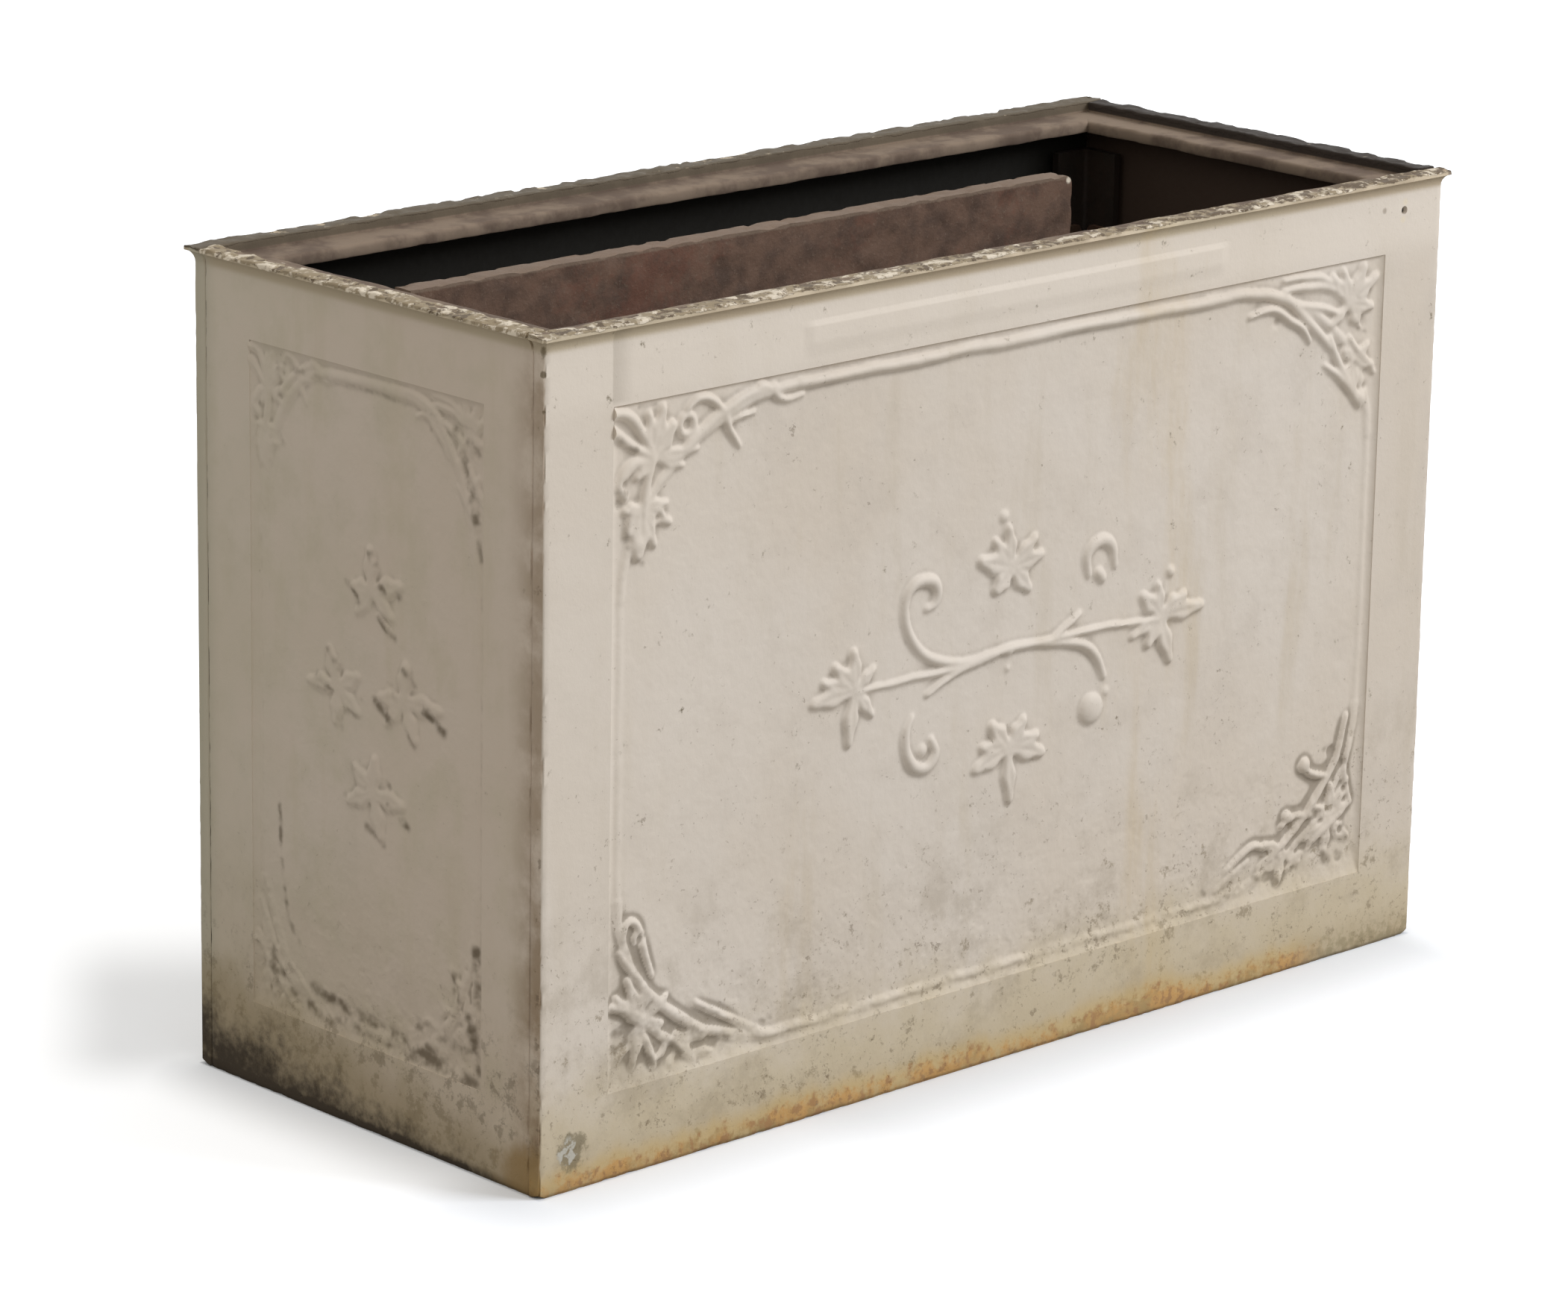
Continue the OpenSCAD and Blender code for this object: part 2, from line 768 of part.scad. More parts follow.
module partition_end_angle() {
    color(iron)
    difference() {
        translate([end_angle_x, partition_back, angle_z])
            angle_iron(angle_h - screw_margin);
        for (z = end_angle_levels) {
            translate([end_bolt_x, partition_back - 1, z])
                rotate([-90, 0, 0])
                cylinder(d = bolt_d + hole_clear, h = angle_t + 2, $fn = 32);
            translate([end_angle_x - 1, end_angle_screw_y, z])
                rotate([0, 90, 0])
                cylinder(d = screw_d + hole_clear, h = angle_t + 2, $fn = 32);
        }
    }
}

module partition_foot_angle() {
    color(iron)
    difference() {
        translate([foot_angle_x, partition_back, base_top])
            rotate([90, 0, 90])
            angle_iron(foot_angle_l);
        for (x = foot_angle_places) {
            translate([x, partition_back - 1, foot_bolt_z])
                rotate([-90, 0, 0])
                cylinder(d = bolt_d + hole_clear, h = angle_t + 2, $fn = 32);
            translate([x, foot_screw_y, base_top - 1])
                cylinder(d = bolt_d + hole_clear, h = angle_t + 2, $fn = 32);
        }
    }
}

// Bolts from the front of the plate, through the angle behind it
module partition_bolts() {
    grip = partition_t + angle_t;
    color(steel)
    partition_bolt_places()
        rotate([90, 0, 0])
        hex_screw(bolt_d, grip + head_h(bolt_d) + 3);
}

module partition_nuts() {
    color(steel)
    partition_bolt_places()
        translate([0, partition_t + angle_t, 0])
        rotate([-90, 0, 0])
        difference() {
            cylinder(d = head_d(bolt_d) / cos(30), h = head_h(bolt_d), $fn = 6);
            translate([0, 0, -1])
                cylinder(d = bolt_d + tap_clear, h = head_h(bolt_d) + 2, $fn = 32);
        }
}

module foot_angle_screws() {
    color(steel)
    for (x = foot_angle_places)
        translate([x, foot_screw_y, base_top + angle_t])
        hex_screw(bolt_d, angle_t + base_t - 1);
}

front_panel();
back_panel();
left_end_panel();
right_end_panel();
base_plate();
corner_angle(-1, -1);  // corner_angle_front_left
corner_angle(1, -1);  // corner_angle_front_right
corner_angle(-1, 1);  // corner_angle_back_left
corner_angle(1, 1);  // corner_angle_back_right
front_panel_screws();
back_panel_screws();
left_end_screws();
right_end_screws();
base_screws();
partition_plate();
partition_end_angle();
partition_foot_angle();
partition_bolts();
partition_nuts();
foot_angle_screws();
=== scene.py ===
# %% [markdown]
# # A cast iron plant trough
# The trough is four cast panels round a base plate, with vine foliage standing in low relief inside a rod
# frame on the long front and on both ends. The CAD model gives every size, so this script starts by loading
# it.

# %% Load the imported model
import math

import bmesh
import bpy
import numpy as np
from mathutils import Matrix, Vector


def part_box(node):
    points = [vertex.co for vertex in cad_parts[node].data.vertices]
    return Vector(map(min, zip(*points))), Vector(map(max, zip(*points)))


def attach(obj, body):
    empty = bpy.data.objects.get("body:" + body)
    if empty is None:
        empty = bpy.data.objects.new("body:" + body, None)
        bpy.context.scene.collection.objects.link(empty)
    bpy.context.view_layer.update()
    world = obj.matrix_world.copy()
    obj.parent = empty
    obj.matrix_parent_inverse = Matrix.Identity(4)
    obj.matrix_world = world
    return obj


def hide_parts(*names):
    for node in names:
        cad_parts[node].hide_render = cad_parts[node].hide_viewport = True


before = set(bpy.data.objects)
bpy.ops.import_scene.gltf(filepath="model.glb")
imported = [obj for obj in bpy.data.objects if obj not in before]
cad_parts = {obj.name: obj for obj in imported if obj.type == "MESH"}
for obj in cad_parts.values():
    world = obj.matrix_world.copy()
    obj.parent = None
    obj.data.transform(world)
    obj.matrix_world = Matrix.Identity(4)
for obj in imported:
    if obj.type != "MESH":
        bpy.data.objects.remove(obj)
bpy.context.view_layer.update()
MM = 0.001
print("CAD nodes:", len(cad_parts))

# %% [markdown]
# ## The sizes that the pieces share
# All sizes here are in millimetres, and are the ones that the castings have in the CAD model. A
# point on a wall is given as `u` along it to the right, `d` outwards from its face and `z` up, as
# someone who stands in front of that wall sees it.

# %% Sizes in millimetres
HALF_L, HALF_W, HEIGHT = 301.0, 124.75, 406.5
WALL = 8.0
LIP_OUT, LIP_FACE, LIP_CURVE = 4.0, 3.0, 6.0
LIP_Z = HEIGHT - LIP_FACE - LIP_CURVE
FIELD_SINK, STILE, RAIL = 2.0, 41.0, 42.0
FIELD_TOP = LIP_Z - 30.0
LEDGE_TOP, LEDGE_THICK, LEDGE_WIDE, LEDGE_ROUND = 400.5, 6.0, 20.0, 2.0
FOOT_WIDE, FOOT_THICK = 20.0, 8.0
WALLS = {
    "front_panel": {"turn": 0, "reach": HALF_W, "half": HALF_L, "long": True},
    "back_panel": {"turn": 180, "reach": HALF_W, "half": HALF_L, "long": True},
    "left_end_panel": {"turn": -90, "reach": HALF_L, "half": HALF_W - WALL, "long": False},
    "right_end_panel": {"turn": 90, "reach": HALF_L, "half": HALF_W - WALL, "long": False},
}


def stand(wall, u, d, z):
    """Place in the trough, in mm, of points of one wall.
    The wall's own picture is turned about the upright axis: x is u times the cosine plus the
    distance from the middle times the sine, y is u times the sine less that distance times the cosine."""
    turn = math.radians(wall["turn"])
    cos, sin, away = math.cos(turn), math.sin(turn), wall["reach"] + d
    return np.stack([u * cos + away * sin, u * sin - away * cos, z + 0 * u], -1)


print("walls:", ", ".join(WALLS))

# %% [markdown]
# ## Camera
# The photograph was taken with a long lens from the left of the front and a little above the rim. A
# camera could be placed by eye, but here its angles and distance were fitted to seventeen corners of
# the trough, so that a render and the photograph can be laid over each other.

# %% Camera
TARGET_Z, CAM_AZ, CAM_EL, CAM_ROLL = 203.22, -43.598, 15.659, 1.012
CAM_AWAY, CAM_LEFT, CAM_DOWN = 3056.8, 24.71, 20.12
FRAME_PX, FOCAL_PX, SENSOR = 2102, 8266.5, 36.0


def aim_camera():
    """The camera's matrix from its azimuth, height angle and roll: it looks along the line back to the
    target, and stands a little left of and below that line, as the object isn't in the picture's middle."""
    az, el, roll = (math.radians(a) for a in (CAM_AZ, CAM_EL, CAM_ROLL))
    back = np.array([math.sin(az) * math.cos(el), -math.cos(az) * math.cos(el), math.sin(el)])
    right = np.cross(-back, [0, 0, 1])
    right /= np.linalg.norm(right)
    up = np.cross(back, right)
    side = math.cos(roll) * right + math.sin(roll) * up
    top = math.cos(roll) * up - math.sin(roll) * right
    place = np.array([0, 0, TARGET_Z]) + back * CAM_AWAY - side * CAM_LEFT - top * CAM_DOWN
    rows = np.stack([side, top, back, place * MM], 1)
    return Matrix([*rows.tolist(), [0, 0, 0, 1]])


camera = bpy.data.objects.new("camera", bpy.data.cameras.new("camera"))
bpy.context.scene.collection.objects.link(camera)
camera.matrix_world = aim_camera()
camera.data.sensor_width = SENSOR
camera.data.lens = FOCAL_PX / FRAME_PX * SENSOR
camera.data.clip_start, camera.data.clip_end = 0.1, 30
bpy.context.scene.camera = camera
print("lens, mm:", round(camera.data.lens, 2))

# %% [markdown]
# ## Shader maths as plain expressions
# A material here is a sum of masks and colours. Joining nodes by hand hides the sum behind wires, so
# `Value` wraps one socket, and its operators add Math nodes: a mask is then written as a Python
# expression. `Shader.node` makes any other node.

# %% One socket that takes arithmetic


def linear(r, g, b):
    """The linear colour of an 8-bit screen colour, by the sRGB curve."""
    return [((c / 255 + 0.055) / 1.055) ** 2.4 if c > 10 else c / 255 / 12.92 for c in (r, g, b)] + [1.0]


class Value:
    """One output socket; arithmetic on it adds Math nodes."""

    def __init__(self, shader, socket):
        self.shader, self.socket = shader, socket

    def math(self, operation, *others):
        return self.shader.node("Math", {"operation": operation}, dict(enumerate((self, *others))))

    def __add__(self, other):
        return self.math("ADD", other)

    def __sub__(self, other):
        return self.math("SUBTRACT", other)

    def __mul__(self, other):
        return self.math("MULTIPLY", other)

    def __rsub__(self, other):
        return self.shader.node("Math", {"operation": "SUBTRACT"}, {0: other, 1: self})

    __radd__, __rmul__ = __add__, __mul__

    def clamp(self):
        return self.shader.node("Clamp", {}, {"Value": self})

    def step(self, low, high):
        """0 below low, 1 above high, and smooth between; low may be the larger one."""
        ends = {"Value": self, "From Min": low, "From Max": high}
        return self.shader.node("MapRange", {"interpolation_type": "SMOOTHSTEP"}, ends)

    def sway(self, strength):
        """A noise about zero: the noise less a half, times strength."""
        return (self - 0.5) * strength


print("white paint, linear:", np.round(linear(222, 213, 203), 3))

# %% A material made of nodes
GLOSS = 0.35


class Shader:
    """A material or world being built from nodes."""

    def __init__(self, owner):
        owner.use_nodes = True
        self.owner, self.tree = owner, owner.node_tree
        self.tree.nodes.clear()

    def node(self, kind, settings=None, inputs=None, out=0):
        made = self.tree.nodes.new("ShaderNode" + kind)
        for key, value in (settings or {}).items():
            setattr(made, key, value)
        for key, value in (inputs or {}).items():
            if isinstance(value, Value):
                self.tree.links.new(value.socket, made.inputs[key])
            else:
                made.inputs[key].default_value = value
        return Value(self, made.outputs[out])

    def mix(self, share, a, b):
        """Colour a where share is 0, and b where it is 1."""
        return self.node("Mix", {"data_type": "RGBA"}, {0: share, 6: a, 7: b}, out=2)

    def noise(self, scale, detail=3.0, rough=0.55, stretch=(1, 1, 1), shift=0.0):
        """A cloudy pattern round 0.5; scale counts its lumps in a metre."""
        coords = self.node("TexCoord", out="Object")
        mapped = self.node("Mapping", {}, {"Vector": coords, "Scale": stretch, "Location": (shift,) * 3})
        look = {"Vector": mapped, "Scale": scale, "Detail": detail, "Roughness": rough}
        return self.node("TexNoise", {}, look)

    def axes(self):
        """The x, y and z of Object coordinates, in metres."""
        split = self.node("SeparateXYZ", {}, {0: self.node("TexCoord", out="Object")})
        return [Value(self, split.socket.node.outputs[i]) for i in range(3)]

    def attribute(self, name):
        return self.node("Attribute", {"attribute_name": name}, out="Fac")

    def round_spot(self, place, radius):
        """1 at a place given in mm, and 0 beyond radius from it."""
        ends = {0: self.node("TexCoord", out="Object"), 1: [c * MM for c in place]}
        away = self.node("VectorMath", {"operation": "DISTANCE"}, ends, out="Value")
        return away.step(radius * MM, 0.3 * radius * MM)

    def surface(self, kind, value):
        output = self.tree.nodes.new("ShaderNodeOutput" + kind)
        self.tree.links.new(value.socket, output.inputs["Surface"])

    def principled(self, colour, rough, relief, strength, depth):
        """The finished surface; relief is the fine height that the bump shows, up to depth in metres."""
        bump = self.node("Bump", {}, {"Strength": strength, "Distance": depth, "Height": relief})
        body = {"Base Color": colour, "Roughness": rough.clamp(), "Normal": bump, "Specular IOR Level": GLOSS}
        self.surface("Material", self.node("BsdfPrincipled", {}, body))
        return self.owner


print("shader helpers ready")

# %% [markdown]
# ## The studio
# The trough stands in a white studio. A far white backdrop would need much light, which would wash
# the object out. So the world gives the object a soft, dim light, and only the camera and mirror
# reflections see it as white, through the Light Path node.

# %% World
WORLD_LIGHT, WORLD_TINT, WHITE = 0.63, (1.0, 0.965, 0.9, 1.0), (1.0, 1.0, 1.0, 1.0)


def white_world():
    """A studio that lights softly from all sides and that the camera and reflections see as white."""
    shader = Shader(bpy.data.worlds.new("studio"))
    seen = shader.node("LightPath", out="Is Camera Ray")
    mirrored = Value(shader, seen.socket.node.outputs["Is Glossy Ray"])
    glow = shader.node("Background", {}, {"Color": WORLD_TINT, "Strength": WORLD_LIGHT})
    white = shader.node("Background", {}, {"Color": WHITE, "Strength": 1.0})
    shader.surface("World", shader.node("MixShader", {}, {0: (seen + mirrored).clamp(), 1: glow, 2: white}))
    return shader.owner


bpy.context.scene.world = white_world()
bpy.context.scene.view_settings.view_transform = "Standard"
print("world light:", WORLD_LIGHT)

# %% [markdown]
# The floor is one wide sheet. It passes on a dull grey light, as a studio floor does, but the camera sees
# white paper with the trough's shadow on it. Plain paper would show a grey floor all round, so a little
# emission lifts it to white, less where the photograph shows the shadow: close to the walls and in its core
# behind the left end. Where the lift is held down, it paints shadow on top of the real one.

# %% Floor
FLOOR_REACH, FLOOR_DULL, FLOOR_PAPER = 9.0, (0.34, 0.33, 0.31, 1), (0.88, 0.915, 0.975, 1)
SHADOW_COS, SHADOW_SIN = 0.617, 0.787


def floor_lift_and_painted_shadow(shader):
    """How much the camera sees the floor lifted towards white, from 0 to 1. It is held down close to the
    walls, by the distance from them, and over a patch behind the left end, by the way along and across it:
    there it paints shadow on top of the real one. It is more in front, where the lamp is, and not at all
    under the trough, where it would shine up through the drain holes."""
    x, y = shader.axes()[:2]
    past_x = (x.math("ABSOLUTE") - HALF_L * MM).math("MAXIMUM", 0.0)
    past_y = (y.math("ABSOLUTE") - HALF_W * MM).math("MAXIMUM", 0.0)
    away = (past_x * past_x + past_y * past_y).math("SQRT")
    along, across = x * SHADOW_COS + y * SHADOW_SIN, y * SHADOW_COS - x * SHADOW_SIN
    # painted shadow: the patch behind the left end where the lift is held down
    painted_shadow_patch = across.step(0.402, 0.352) * along.step(0.14, 0.02) * along.step(-0.14, -0.06)
    behind = 0.53 - away.step(0.055, 0.0).math("MAXIMUM", painted_shadow_patch) * 0.29
    ahead = x.step(-0.1, -0.16) * 0.1 + away.step(0.005, 0.08) * 0.3 + x.step(0.28, 0.32) * 0.25 + 0.03
    return (behind + (ahead - behind) * y.step(-0.065, -0.112)) * away.step(0.0, 0.0015)


def pale_floor():
    """A wide square at z = 0, dull for the light it passes on and lifted paper for the camera."""
    mesh = bpy.data.meshes.new("floor")
    r = FLOOR_REACH
    mesh.from_pydata([(-r, -r, 0), (r, -r, 0), (r, r, 0), (-r, r, 0)], [], [(0, 1, 2, 3)])
    shader = Shader(bpy.data.materials.new("pale_floor"))
    seen = shader.node("LightPath", out="Is Camera Ray")
    dull = shader.node("BsdfDiffuse", {}, {"Color": FLOOR_DULL})
    paper = shader.node("BsdfDiffuse", {}, {"Color": FLOOR_PAPER})
    glow = shader.mix(floor_lift_and_painted_shadow(shader), (0, 0, 0, 1), WHITE)
    lift = shader.node("Emission", {}, {"Color": glow, "Strength": 1.0})
    bright = shader.node("AddShader", {}, {0: paper, 1: lift})
    shader.surface("Material", shader.node("MixShader", {}, {0: seen, 1: dull, 2: bright}))
    mesh.materials.append(shader.owner)
    floor = bpy.data.objects.new("floor", mesh)
    bpy.context.scene.collection.objects.link(floor)


pale_floor()
print("floor, m across:", 2 * FLOOR_REACH)

# %% [markdown]
# One broad lamp stands high on the right of the front, so the front is bright and the left end is in
# the half shade. A wide lamp gives the soft edge that the shadow has; a sun would draw it too sharp.

# %% Lamp
LAMP_PLACE, LAMP_SIZE, LAMP_WATTS, LAMP_TINT = (2.4, -3.1, 2.9), 2.0, 125.0, (0.97, 1.0, 1.05)


def soft_lamp():
    """One square lamp, aimed at the middle of the trough."""
    data = bpy.data.lights.new("soft_lamp", "AREA")
    data.shape, data.size, data.energy, data.color = "SQUARE", LAMP_SIZE, LAMP_WATTS, LAMP_TINT
    lamp = bpy.data.objects.new("soft_lamp", data)
    bpy.context.scene.collection.objects.link(lamp)
    aim = Vector((0, 0, TARGET_Z * MM)) - Vector(LAMP_PLACE)
    lamp.matrix_world = Matrix.Translation(LAMP_PLACE) @ aim.to_track_quat("-Z", "Y").to_matrix().to_4x4()


soft_lamp()
print("lamp, W:", LAMP_WATTS)

# %% [markdown]
# ## Meshes from arrays
# Every piece is a set of grids. A grid's points come from a function of its two counts, whole arrays
# at a time, and the grids of one closed piece are welded where they meet. Modelling by hand would be
# slower to change: here a chip or a leaf is a number.

# %% Grids


def grid_faces(rows, columns, closed=False, start=0):
    """Corner numbers of the faces between a grid's points, anticlockwise when rows go up, columns right."""
    corner = np.arange(rows * columns).reshape(rows, columns) + start
    if closed:
        corner = np.concatenate([corner, corner[:, :1]], 1)
    around = [corner[:-1, :-1], corner[:-1, 1:], corner[1:, 1:], corner[1:, :-1]]
    return np.stack(around, -1).reshape(-1, 4)


def fan_faces(loop, middle):
    """Triangles from each stretch of a closed loop of points to one point in its middle."""
    return np.stack([loop, np.roll(loop, -1), np.full(len(loop), middle)], -1)


def stations(low, high, step, *exact):
    """Rising values from low to high about one step apart, among which are all the exact ones."""
    marks = np.unique(np.clip([low, high, *exact], low, high))
    counts = [max(2, int(round((b - a) / step)) + 1) for a, b in zip(marks[:-1], marks[1:])]
    return np.unique(np.concatenate([np.linspace(*run) for run in zip(marks[:-1], marks[1:], counts)]))


print("stations:", stations(0, 10, 4, 9))

# %% From arrays to a piece
WELD, SHARP_ANGLE = 0.004, 48


def new_mesh(name, points, faces):
    """A mesh from points in mm and arrays of faces with three or four corners."""
    mesh = bpy.data.meshes.new(name)
    mesh.vertices.add(len(points))
    mesh.vertices.foreach_set("co", np.ascontiguousarray(points * MM, np.float32).ravel())
    corners = np.concatenate([f.ravel() for f in faces]).astype(np.int32)
    counts = np.concatenate([np.full(len(f), f.shape[1]) for f in faces])
    mesh.loops.add(len(corners))
    mesh.loops.foreach_set("vertex_index", corners)
    mesh.polygons.add(len(counts))
    mesh.polygons.foreach_set("loop_start", (np.cumsum(counts) - counts).astype(np.int32))
    mesh.update(calc_edges=True)
    return mesh


def marked(count, inner=0.0, edge=0.0, cavity=0.0):
    """The marks that the paint reads at each of count points: bare inside, crust of the rim, and hollows with
    dirt and painted shade.
    """
    none = np.zeros(count)
    return {"inner": none + inner, "edge": none + edge, "cavity": none + cavity}


def make_piece(name, points, faces, material, marks=None):
    """A finished piece that rides the body: equal points are welded, and its marks are kept as attributes."""
    mesh = new_mesh(name, points, faces)
    for mark, values in (marks or {}).items():
        mesh.attributes.new(mark, "FLOAT", "POINT").data.foreach_set("value", values.astype(np.float32))
    work = bmesh.new()
    work.from_mesh(mesh)
    bmesh.ops.remove_doubles(work, verts=work.verts, dist=WELD * MM)
    work.to_mesh(mesh)
    work.free()
    mesh.validate()
    mesh.shade_smooth()
    mesh.set_sharp_from_angle(angle=math.radians(SHARP_ANGLE))
    mesh.materials.append(material)
    piece = bpy.data.objects.new(name, mesh)
    bpy.context.scene.collection.objects.link(piece)
    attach(piece, "root")
    print(name, "faces:", len(mesh.polygons))
    return piece


print("weld distance, mm:", WELD)

# %% [markdown]
# Two closed shapes carry nearly everything: a block, whose six faces are grids, for the walls and the
# partition, and a bar, whose rings follow one another, for ledges, flanges and bosses.

# %% Blocks and bars


def block_grids(us, vs, zs):
    """Stations (u, v, z) of the six faces of a block, and its faces.
    A ring of columns goes round it at each level: outer face, right end, inner face, left end."""
    nu, nv, nz = len(us), len(vs), len(zs)
    middle = np.arange(1, nv - 1)
    i = np.concatenate([np.arange(nu), np.full(nv - 2, nu - 1), np.arange(nu)[::-1], np.zeros(nv - 2, int)])
    j = np.concatenate([np.zeros(nu, int), middle, np.full(nu, nv - 1), middle[::-1]])
    level = np.repeat(zs[:, None], len(i), 1)
    side = np.stack([np.tile(us[i], (nz, 1)), np.tile(vs[j], (nz, 1)), level], -1)
    cap_v, cap_u = np.meshgrid(vs, us, indexing="ij")
    caps = [np.stack([cap_u, cap_v, np.full(cap_u.shape, z)], -1) for z in (zs[-1], zs[0])]
    points = np.concatenate([grid.reshape(-1, 3) for grid in (side, *caps)])
    top = grid_faces(nv, nu, start=side[..., 0].size)
    return points, np.concatenate([grid_faces(nz, len(i), True), top, top[:, ::-1] + nu * nv])


def swept_grids(rings):
    """Points and faces of a closed bar from its rings, (rings, points in a ring, 3), with flat ends."""
    count, sides = rings.shape[:2]
    points = np.concatenate([rings.reshape(-1, 3), rings[:1].mean(1), rings[-1:].mean(1)])
    first, last = np.arange(sides), np.arange(sides) + (count - 1) * sides
    ends = [fan_faces(first[::-1], count * sides), fan_faces(last, count * sides + 1)]
    return points, [grid_faces(count, sides, True), *ends]


print("faces of the smallest block:", len(block_grids(*[np.arange(2.0)] * 3)[1]))

# %% [markdown]
# ## The roughness of a sand casting
# Sand moulds leave a skin that is never quite flat, and rust and knocks do the rest. The roughness
# could be a displacement texture, but the same steady noise on arrays also gives the chips of the rim
# and the nibbled lower edge, and it is in the exported mesh.

# %% Noise on arrays
WAVE_SIZE, WAVE_HIGH = 110, 0.9


def cell_value(i, j, seed):
    """A fixed number from 0 to 1 for cell (i, j): its numbers times large primes, with their bits mixed."""
    mixed = (i * 374761393 + j * 668265263 + seed * 1442695041) & 0xFFFFFFFF
    mixed = ((mixed ^ (mixed >> 13)) * 1274126177) & 0xFFFFFFFF
    return ((mixed ^ (mixed >> 16)) & 0xFFFF) / 65535.0


def lumps(x, y, size, seed=0, octaves=4):
    """Cloudy noise from 0 to 1: a sum of layers, each with lumps half as wide and strong as the last."""
    total, weight = 0.0, 0.0
    for layer in range(octaves):
        a, b = np.asarray(x / size * 2**layer), np.asarray(y / size * 2**layer)
        i, j = np.floor(a).astype(np.int64), np.floor(b).astype(np.int64)
        s, t = a - i, b - j
        s, t = s * s * (3 - 2 * s), t * t * (3 - 2 * t)
        near = cell_value(i, j, seed + layer) * (1 - s) + cell_value(i + 1, j, seed + layer) * s
        far = cell_value(i, j + 1, seed + layer) * (1 - s) + cell_value(i + 1, j + 1, seed + layer) * s
        total = total + (near * (1 - t) + far * t) * 0.5**layer
        weight += 0.5**layer
    return total / weight


def over(value, low, high):
    """0 below low, 1 above high, and a straight line between; low may be the larger one."""
    return np.clip((value - low) / (high - low), 0, 1)


def wave(wall, u, z):
    """How far a wall's face bows out of flat, in mm: long shallow waves, none at the moulding."""
    bow = (lumps(u + wall["turn"], z, WAVE_SIZE, 3, 2) - 0.5) * WAVE_HIGH
    return bow * (1 - over(z, LIP_Z - 8, LIP_Z))


print("noise starts at:", np.round(lumps(np.arange(500.0), 0 * np.arange(500.0), 9).min(), 2))

# %% [markdown]
# ## The walls
# Each wall is a plate whose top flares out through a quarter-round hollow to a flat lip. The long
# walls lap the ends of the short ones, so the joint shows 8 mm from each corner on the end faces. A
# wall could be a box with bevels, but then the chips had to be cut with Booleans. Instead a block's
# points are moved: first to the moulding, then by the wear of the rim, the corners and the foot.

# %% The plain casting
TOP_ROUND, FIELD_BACK, FIELD_SLOPE = 1.5, 3.2, 1.2


def lip(z):
    """How far the moulding stands out at height z: a quarter of an ellipse, then the lip's full reach."""
    t = over(z, LIP_Z, LIP_Z + LIP_CURVE)
    return LIP_OUT * (1 - np.sqrt(1 - t * t))


def moulded(wall, u, z, across):
    """Places (u, d) of the unworn wall: the moulding's reach outside, WALL deep inside, and each top edge
    rounded by a quarter circle. The long walls' mouldings run on round the corner."""
    reach = lip(z)
    d = reach * (1 - across) - WALL * across
    if wall["long"]:
        u = u + np.sign(u) * reach * over(np.abs(u), wall["half"] - 12, wall["half"])
    t = over(z, HEIGHT - TOP_ROUND, HEIGHT)
    rounding = TOP_ROUND * (1 - np.sqrt(1 - t * t))
    return u, d - rounding * (1 - across) + 0.6 * rounding * across


def sunk_field(wall, u, z):
    """1 where the face is cut back for its field, with sloping borders FIELD_SLOPE wide."""
    half_field = wall["half"] + (0 if wall["long"] else WALL) - STILE
    sides = over(half_field - np.abs(u), 0, FIELD_SLOPE)
    low, high = over(z, RAIL, RAIL + FIELD_SLOPE), over(z, FIELD_TOP, FIELD_TOP - FIELD_SLOPE)
    return np.minimum(sides, np.minimum(low, high))


print("lip's reach at the top, mm:", float(lip(HEIGHT)))

# %% Wear of the rim, the corners and the foot
CHIP_DEEP, CHIP_LOW, INNER_CHIP_DEEP, INNER_CHIP_LOW = 1.9, 1.3, 1.2, 0.9
TOP_WAVES, TOP_PITS = 0.5, 0.9
CORNER_LOST, FOOT_LOST = 2.8, 0.7


def chipped_rim(u, v, d, z, seed):
    """Noise bites the rim's outer and inner edge and pits its flat top. Also how rough it is, from 0 to 1."""
    across, t = v / WALL, over(z, HEIGHT - TOP_ROUND, HEIGHT)
    chip = over(lumps(u, z * 2, 9, seed), 0.5, 0.78) * over(z, HEIGHT - 3.2, HEIGHT - 0.4)
    chip = chip * (1 - across) ** 2
    inner_chip = over(lumps(u + 37, z, 13, seed + 1), 0.55, 0.8) * over(z, HEIGHT - 2, HEIGHT)
    inner_chip = inner_chip * across**2
    rough = over(lumps(u + 5, 2 * v + 3, 7, seed + 12, 3), 0.4, 0.72)
    lost = CHIP_LOW * chip + INNER_CHIP_LOW * inner_chip
    lost = lost + TOP_WAVES * lumps(u, v, 22, seed + 4) + TOP_PITS * rough
    return d - CHIP_DEEP * chip + INNER_CHIP_DEEP * inner_chip, z - lost * t, rough


def blunt_corners(u, d, z, corner, outer, inner_side, seed):
    """The upright arrises are blunt by a third of a millimetre, with pits, and more at the rim."""
    pit = over(lumps(z, u, 8, seed + 7), 0.5, 0.75)
    blunt = 1 + 2.0 * over(z, LIP_Z, LIP_Z + 5)
    d = d - corner * outer * (0.35 + 0.7 * pit) * blunt + corner * inner_side * 0.35
    return u - np.sign(u) * corner * (0.3 + 0.5 * pit) * blunt, d


def nibbled_foot(wall, u, v, d, z, outer, seed):
    """Rust has eaten the lower edge by noise, and rounded the outer corners of the long walls' feet."""
    foot = over(z, 2.6, 0.0)
    ragged = over(lumps(u, v * 3, 4, seed + 9), 0.5, 0.85)
    end = over(np.abs(u), wall["half"] - 5, wall["half"]) ** 2
    corner_gone = end * over(z, 5, 0) * (1 - v / WALL) ** 1.5
    z = z + foot * FOOT_LOST * ragged * (1 - corner_gone) + CORNER_LOST * corner_gone * wall["long"]
    return d - outer * foot * (0.5 + 0.5 * ragged), z


